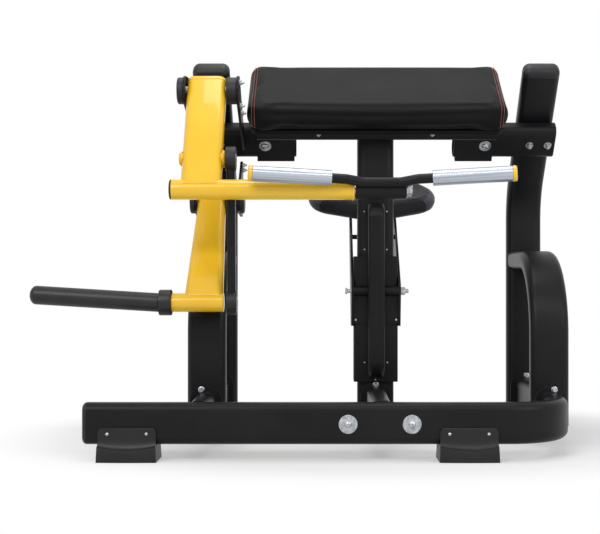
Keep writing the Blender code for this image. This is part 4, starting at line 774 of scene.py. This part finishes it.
def closed_arm(name, node, start, end, side, wide, thin, radius, taper=None):
    """Rounded box carried from start to end, its ends drawn in by a quarter circle of 3 mm and closed.
    A taper (from, wide, shift) widens it beyond that distance: x = side * share * (wide / start wide) + shift."""
    heading = unit(end - start)
    far = np.linalg.norm(end - start)
    turn = np.linspace(0, pi / 2, 5)
    inset = np.concatenate([0.003 * (1 - np.sin(turn)), 0.003 * (1 - np.cos(turn))])
    level = np.concatenate([0.003 * (1 - np.cos(turn)), far - 0.003 * (1 - np.sin(turn))])
    up = np.cross(side, heading)
    rings = [rounded(wide - 2 * i, thin - 2 * i, radius - i) for i in inset]
    if taper:
        rings.insert(5, rings[4])
        level = np.insert(level, 5, taper[0])
        for k in range(5, len(rings)):
            share = (level[k] - taper[0]) / (far - taper[0])
            grown = 1 + share * (taper[1] / wide - 1)
            rings[k] = rings[k] * (grown, 1) + (share * taper[2], 0)
    points = np.stack([laid(r, start + heading * h, side, up) for r, h in zip(rings, level)])
    return make(name, points, capped(*points.shape[:2]), yellow_enamel, node, True)


closed_arm("handle_arm_enamelled", "handle_arm", at(ARM_X, ELBOW) - ARM_DOWN * 0.036, at(ARM_X, HANDLE), X, *TUBE)
arm_up = np.cross(X, ARM_DOWN)
ring_weld("handle_arm_top_weld", "handle_arm", 0.0012, (0.1202, 0.0602, 0.024), at(ARM_X, ELBOW) - ARM_DOWN * 0.024,
          X, arm_up, yellow_enamel)
for mark, side_of in (("front", 1), ("back", -1)):
    foot = at(ARM_X, HANDLE) + arm_up * side_of * 0.0300 - ARM_DOWN * 0.0040
    bead("handle_arm_" + mark + "_weld", "handle_arm", [foot - X * 0.050, foot + X * 0.050], 0.0022, False,
         yellow_enamel)

# Handle tube: 60 mm round tube in the same yellow, with a nylon plug at its left end and a turned collar at its
# right end. The link's pin is a yellow bar through the arm with a shoulder on the right.
LINK_X, LINK_HALF, SPINDLE_BORE = -0.4475, 0.0155, 0.0128
turned("handle_tube_enamelled", "handle_tube", at(-0.618, HANDLE), X, sleeve(SPINDLE_BORE, 0.030, 0.539),
       yellow_enamel, 0.0012)
turned("handle_tube_collar", "handle_tube", at(-0.0860, HANDLE), X, sleeve(0.029, 0.0316, 0.0055), yellow_enamel,
       0.0010, False)
turned("handle_tube_plug_moulding", "handle_tube_plug", at(-0.6183, HANDLE), -X,
       [(0, 0), (0.0295, 0), (0.0295, 0.0035), (0.0265, 0.006), (0, 0.006)], moulded_nylon, 0.0020)
long = LINK_X - LINK_HALF - arm_right - 0.0016
turned("link_pin_enamelled", "link_pin", at(arm_right + 0.0003, LINK_TOP), X,
       [(0, -0.1303), (0.017, -0.1303), (0.019, -0.128), (0.019, 0), (0.027, 0), (0.0245, long), (0.0125, long),
        (0.0125, long + 0.027), (0, long + 0.027)], yellow_enamel, 0.0015)
turned("link_pin_left_washer", "link_pin", at(arm_left - 0.0003, LINK_TOP), -X, sleeve(0.0185, 0.0230, 0.0040),
       yellow_enamel, 0.0012, False)

# Turning handle: a black boss on a plated spindle, closed by a flanged nut. A 29 mm bar is bent out of it, and two
# anodised aluminium sleeves are the grips, brushed along their length, each closed by a yellow end ring.
GRIP_FROM, GRIP_TO, NEAR_OFF, FAR_OFF = 0.147, 0.388, 0.0600, 0.0850
turned("handle_boss_steel", "handle_boss", at(-0.076, HANDLE), X, sleeve(SPINDLE_BORE, 0.029, 0.149), powder_coat,
       0.0015)
turned("handle_spindle_steel", "handle_spindle", at(-0.139, HANDLE), X, sleeve(0, 0.0125, 0.231), zinc_plate, 0.0012)
rows = [(SPINDLE_BORE, 0, 0), (0.0240, 0, 0), (0.0240, 0.0030, 0), (0.0190, 0.0040, 1), (0.0190, 0.0140, 1),
        (0.0186, 0.0152, 0), (0.0160, 0.0160, 0), (SPINDLE_BORE, 0.0160, 0)]
turned_head("handle_nut_plated", "handle_nut", at(0.074, HANDLE), X, rows, zinc_plate, True)
BAR_OUT = np.array([0, -cos(radians(30)), sin(radians(30))])
slope = (FAR_OFF - NEAR_OFF) / (GRIP_TO - GRIP_FROM)


def bar_spot(x, offset):
    """A spot at x on the handle, the offset away from the spindle's line."""
    return HANDLE + X * x + BAR_OUT * offset


corners = [bar_spot(0.384, FAR_OFF - 0.004 * slope), bar_spot(0.105, NEAR_OFF - slope * 0.042), bar_spot(0.055, 0.0385)]
places, headings = bent(corners + [m * np.array([-1, 1, 1]) for m in corners[::-1]], 0.045, 14)
angle = np.arange(40) * pi / 20
hoop = np.stack([np.cos(angle), np.sin(angle)], -1) * 0.0145
tube = carried(hoop, places, headings, np.cross(BAR_OUT, X))
tube = np.concatenate([places[:1, None].repeat(40, 1), tube, places[-1:, None].repeat(40, 1)])
make("handle_bar_steel", tube, quads(*tube.shape[:2], False, True), powder_coat, "handle_bar")
grip_alloy, tree, shader, place = new_finish("grip_alloy", Metallic=0.8, Roughness=0.30)
off_middle = add(tree, "Math", {0: add(tree, "SeparateXYZ", {"Vector": place})}, operation="ABSOLUTE")
level = add(tree, "VectorMath", {0: off_middle, 1: tuple(-BAR_OUT * slope), 2: place}, operation="MULTIPLY_ADD")
drawn = add(tree, "Mapping", {"Vector": level}, Scale=(3.0, 210.0, 210.0))
lines = add(tree, "TexNoise", {"Vector": drawn}, Scale=1.0, Detail=2.0)
link(tree, ramped(tree, lines, "#9CA2AC", "#BCC2CB", 0.34, 0.62), shader.inputs["Base Color"])
roughened(tree, shader, lines, 0.22, 0.36)
embossed(tree, shader, lines, 0.0002)
for side, sign in SIDES:
    start, end = bar_spot(sign * GRIP_FROM, NEAR_OFF), bar_spot(sign * GRIP_TO, FAR_OFF)
    long = np.linalg.norm(end - start)
    turned(side + "_grip_sleeve", side + "_grip", start, end - start, sleeve(0.0148, 0.0228, long - 0.012),
           grip_alloy, 0.0015)
    turned(side + "_grip_ring", side + "_grip_cap", start, end - start,
           [(0.0148, long - 0.0117), (0.0233, long - 0.0117), (0.0233, long - 0.0030), (0.0208, long + 0.0003),
            (0, long + 0.0003)], yellow_enamel, 0.0015)

# Weight side: a steel bracket on the upright, with a second cheek on a spacer bar, holds the second lever's shaft.
# The shaft turns in nylon bearing housings and ends under a nylon cap.
dressed("weight_bracket", 0.0012)
PIVOT = np.array([0, -0.110, 0.770])
HORN = np.array([0, -0.330, 0.4495])
LEVER_X = -0.528
lever_left, lever_right = LEVER_X - 0.045 - 0.0015, LEVER_X + 0.045 + 0.0015
cap = [(BORE, 0), (HOUSING, 0), (HOUSING, 0.0105), (HOUSING - 0.0030, 0.014), (0, 0.014)]
turned("left_weight_housing_cap", "left_weight_housing", at(lever_left - 0.0083, PIVOT), -X, cap, moulded_nylon, 0.0015)
turned("right_weight_housing_ring", "right_weight_housing", at(lever_right, PIVOT), X,
       sleeve(BORE, HOUSING, -0.4463 - lever_right), moulded_nylon, 0.0012)
turned("weight_axle_cap_moulding", "weight_axle_cap", at(-0.4377, PIVOT), X, cap, moulded_nylon, 0.0015)
turned("weight_axle_steel", "weight_axle", at(lever_left - 0.0160, PIVOT), X, sleeve(0, 0.015, 0.152), zinc_plate,
       0.001)
for count, (y, z) in enumerate(((0.004, 0.893), (0.022, 0.878))):
    stud("weight_bracket_stud_" + str(count), "weight_bracket", (-0.4380, y, z), X, 0.0110, 0.0140)

# Weight arm and horn tube: a 90 by 50 mm arm that widens to 118 mm, and 57 mm round tube, welded and enamelled.
# The collar and the horn for the plates are moulded in rubber with a soft shine.
HORN_RADIUS, HORN_LONG, COLLAR_X, COLLAR_LONG = 0.0285, 0.390, -0.6293, 0.0380
direction = unit(HORN - PIVOT)
closed_arm("weight_arm_enamelled", "weight_arm", at(LEVER_X, PIVOT) - direction * 0.035, at(LEVER_X, HORN), X,
           0.090, 0.050, 0.018, (0.085, 0.118, -0.005))
turned("horn_tube_enamelled", "horn_tube", at(-0.629, HORN), X, sleeve(0, HORN_RADIUS, 0.157), yellow_enamel, 0.0015)
lever_up = np.cross(X, direction)
for mark, side_of in (("front", 1), ("back", -1)):
    foot = at(-0.533, HORN) + lever_up * side_of * 0.0262 - direction * 0.0125
    bead("weight_arm_" + mark + "_weld", "weight_arm", [foot - X * 0.045, foot + X * 0.045], 0.0022, False,
         yellow_enamel)
horn_rubber = grained("horn_rubber", 14.0, "#141417", "#1B1B1F", ("Noise", 160.0, 3.0), (0.34, 0.46), 0.0002,
                      Roughness=0.45, Specular_IOR_Level=0.40)
turned("horn_collar_rubber", "horn_collar", at(COLLAR_X, HORN), -X, sleeve(0, 0.0390, COLLAR_LONG), horn_rubber, 0.0035)
tilt = radians(3.5)
start = at(COLLAR_X - COLLAR_LONG - 0.0003 - HORN_RADIUS * tan(tilt), HORN)
dome = [(HORN_RADIUS * cos(a), HORN_LONG - 0.020 + 0.020 * sin(a)) for a in np.linspace(0, pi / 2, 12)]
turned("weight_horn_rubber", "weight_horn", start, (-cos(tilt), 0, sin(tilt)), [(0, 0), (HORN_RADIUS, 0), *dome],
       horn_rubber, 0)

# Link: flat black bar with a round bearing head at each end, pinned to the arm above and to the horn tube below.
top, low = at(LINK_X, LINK_TOP), at(LINK_X, HORN)
long = np.linalg.norm(low - top) - 2 * 0.020
slab("link_bar_steel", "link_bar", rounded(0.025, 0.040, 0.006), (top + low) / 2, X, np.cross(X, unit(low - top)), long,
     powder_coat, True, 0.0)
for mark, spot in (("top", LINK_TOP), ("low", HORN)):
    turned("link_" + mark + "_bearing", "link_bar", at(LINK_X - LINK_HALF, spot), X,
           sleeve(0.0128, 0.037, 2 * LINK_HALF), moulded_nylon, 0.0030, False)
    turned("link_" + mark + "_circlip", "link_bar", at(LINK_X + LINK_HALF, spot), X,
           [(0.0135, -0.001), (0.0160, -0.001), (0.0160, 0.0010), (0.0135, 0.0010)], zinc_plate, 0.0003, False)

# Seat carriage: two steel cheeks joined round the sleeve, clamped by a long plated bolt through a cross tube.
dressed("seat_carriage", 0.0010)
cross = np.array([0, -0.0453 - 0.016, 0.479])
bolt_end = cross - X * 0.0933
turned("seat_bolt_plated", "seat_bolt", bolt_end, X, sleeve(0, 0.0065, 0.1986), zinc_plate, 0.001)
rows = [(0.0079, 0.0003, 0), (0.0112, 0.0003, 1), (0.0112, 0.0130, 1), (0.0108, 0.0142, 0), (0.0079, 0.0150, 0)]
turned_head("seat_nut_plated", "seat_nut", cross + X * 0.0803, X, rows, zinc_plate, True)
turned_head("seat_bolt_head", "seat_bolt", bolt_end, -X,
            [(0, 0, 0), (0.0088, 0, 1), (0.0088, 0.0060, 1), (0.0080, 0.0070, 0), (0, 0.0070, 0)], zinc_plate)
for side, sign in SIDES:
    small_screw("carriage_" + side + "_screw", "seat_carriage", (sign * 0.066, -0.0533, 0.3850), -Y, 0.0042)

# Seat: a moulded pan under a foam cushion. A raised rim in grey vinyl runs round a sunk, darker panel, and black
# piping covers the seam between them.
seat_vinyl = vinyl("seat_vinyl", "#43444C", "#585A64", 0.42, 0.58)
seat_panel_vinyl = vinyl("seat_panel_vinyl", "#222226", "#303035", 0.42, 0.58)
TILT = radians(20)
SEAT_UP = np.array([0, -sin(TILT), cos(TILT)])
SEAT_BACK = np.array([0, cos(TILT), sin(TILT)])
SEAT_MID = np.array([0, 0.300, 0.775])
RIM = 0.027
half = np.array([(0.000, -0.177), (0.055, -0.174), (0.100, -0.150), (0.150, -0.121), (0.193, -0.094), (0.214, -0.064),
                 (0.226, -0.020), (0.229, 0.030), (0.218, 0.085), (0.188, 0.132), (0.140, 0.162), (0.080, 0.175),
                 (0.000, 0.178)])
ring = np.concatenate([half, (half * (-1, 1))[-2:0:-1]])
t = np.linspace(0, len(ring), 129)[:-1]
k = t.astype(int)
u = (t - k)[:, None]
p0, p1, p2, p3 = (ring[(k + shift) % len(ring)] for shift in (-1, 0, 1, 2))
cubic = (2 * p0 - 5 * p1 + 4 * p2 - p3) * u ** 2 + (3 * p1 - p0 - 3 * p2 + p3) * u ** 3
seat_plan = 0.5 * (2 * p1 + (p2 - p0) * u + cubic)


def seat_outline(inset_x, inset_y):
    """The seat's plan, a closed Catmull-Rom spline, scaled in x and y by 1 - inset / half size."""
    return seat_plan * (1 - inset_x / 0.229, 1 - inset_y / 0.178)


pan_layers = [(0, 0.060, 0.060), (0.25, 0.044, 0.044), (0.6, 0.030, 0.030), (0.9, 0.022, 0.022), (1.0, 0.022, 0.022)]
points, faces = rings_of(pan_layers, seat_outline, SEAT_MID - SEAT_UP * 0.012, X, SEAT_BACK, SEAT_UP, 0.012)
make("seat_pan_moulding", points, faces, seat_vinyl, "seat_pan", True, 0.0, 50)
seat_layers = [(0.00, 0.012, 0.010), (0.06, 0.005, 0.004), (0.18, 0.002, 0.0), (0.36, 0.002, 0.002),
               (0.52, 0.003, 0.003), (0.70, 0.008, 0.008), (0.84, 0.018, 0.018), (0.94, 0.034, 0.034),
               (1.00, 0.062, 0.062)]
points, faces = rings_of(seat_layers, seat_outline, SEAT_MID + SEAT_UP * 0.0003, X, SEAT_BACK, SEAT_UP, 0.050)
seat_mesh, shape = swollen("seat_cushion_cover", points, faces, 0.005, 0.006, SEAT_MID + SEAT_UP * 0.0003, SEAT_UP)
local = shape - SEAT_MID
height = local @ SEAT_UP
flat = np.stack([local[:, 0], local @ SEAT_BACK], -1)
turn = np.arctan2(flat[:, 1], flat[:, 0])
plan_turn = np.arctan2(seat_plan[:, 1], seat_plan[:, 0])
order = np.argsort(plan_turn)
plan_reach = np.linalg.norm(seat_plan, axis=1)[order]
edge = np.interp(turn, plan_turn[order], plan_reach, period=2 * pi) - np.linalg.norm(flat, axis=1)
upper = np.clip((height - 0.020) / 0.015, 0, 1) * np.clip((flat[:, 1] + 0.120) / 0.060, 0, 1)
t = np.clip((edge - 0.030) / 0.045, 0, 1)
dish = 0.0080 * t * t * (3 - 2 * t) + 0.0022 * np.exp(-((edge - RIM) / 0.0035) ** 2)
shape = shape - SEAT_UP * (dish * upper)[:, None]
seat_cushion, cover = covered("seat_cushion_cover", "seat_cushion", seat_mesh, shape, seat_vinyl)
seat_cushion.data.materials.append(seat_panel_vinyl)
inner = (edge > RIM) & (height > 0.018) | (turn < radians(-26)) & (turn > radians(-154))
for face in seat_cushion.data.polygons:
    face.material_index = int(inner[list(face.vertices)].all())
piping = grained("black_piping", 30.0, "#0E0E10", "#141416", Roughness=0.5)
turn = np.linspace(radians(-26), radians(206), 220)
line = []
for a, r in zip(turn, np.interp(turn, plan_turn[order], plan_reach, period=2 * pi) - RIM):
    above = SEAT_MID + X * r * cos(a) + SEAT_BACK * r * sin(a) + SEAT_UP * 0.070
    found, _, _, _ = cover.ray_cast(Vector(above), Vector(-SEAT_UP))
    line.append(np.array(found) + SEAT_UP * 0.0002)
bead("seat_piping", "seat_cushion", line, 0.0022, False, piping)

# Floor and background: a seamless white sweep that shows as plain white but keeps a soft contact shadow.
def seen_directly(tree):
    """1 for rays from the camera and from mirrors, else 0."""
    ray = add(tree, "LightPath")
    return add(tree, "Math", {0: ray.outputs["Is Camera Ray"], 1: ray.outputs["Is Glossy Ray"]}, operation="MAXIMUM")


sweep_paper, tree, shader, place = new_finish("sweep_paper", Roughness=0.9, Specular_IOR_Level=0.0)
shader.inputs["Base Color"].default_value = linear("#F4F4F4")
spread = add(tree, "Mapping", {"Vector": place}, Scale=(1 / 1.15, 1 / 0.85, 1.0))
away = add(tree, "VectorMath", {0: spread}, operation="LENGTH").outputs["Value"]
fade = add(tree, "MapRange", {"Value": away}, interpolation_type="SMOOTHSTEP", From_Min=0.75, From_Max=1.15,
           To_Min=0.35, To_Max=1.0)
share = add(tree, "Math", {0: seen_directly(tree), 1: fade}, operation="MULTIPLY")
blend = add(tree, "MixShader", {0: share, 1: shader, 2: add(tree, "Emission", Strength=1.0)})
link(tree, blend, tree.nodes["Material Output"].inputs["Surface"])
floor_mesh = bpy.data.meshes.new("floor")
floor_mesh.from_pydata([(-30, -30, 0), (30, -30, 0), (30, 30, 0), (-30, 30, 0)], [], [(0, 1, 2, 3)])
floor_mesh.materials.append(sweep_paper)
floor = placed("floor", floor_mesh)
world = bpy.data.worlds.new("studio")
world.use_nodes = True
bpy.context.scene.world = world
tree = world.node_tree
strength = add(tree, "MapRange", {"Value": seen_directly(tree)}, To_Min=0.42, To_Max=1.0)
backdrop = tree.nodes["Background"]
backdrop.inputs["Color"].default_value = (1, 1, 1, 1)
link(tree, strength, backdrop.inputs["Strength"])


def softbox(name, place, target, size, power, high=None):
    """Area lamp aimed at a point, square or a strip of the given height."""
    lamp = bpy.data.lights.new(name, "AREA")
    lamp.shape = "RECTANGLE"
    lamp.size = size
    lamp.size_y = high or size
    lamp.energy = power
    made = placed(name, lamp)
    made.location = place
    made.rotation_euler = (Vector(target) - Vector(place)).to_track_quat("-Z", "Y").to_euler()


softbox("key_left", (-2.0, -3.2, 2.6), (0, 0, 0.7), 1.2, 30)
softbox("fill_right", (2.4, -2.6, 1.8), (0, 0, 0.7), 1.2, 20)
softbox("top", (0, -0.2, 3.4), (0, 0, 0.6), 1.6, 32)
softbox("strip_front", (-0.4, -3.1, 3.0), (0, 0, 0.6), 4.5, 36, 0.35)
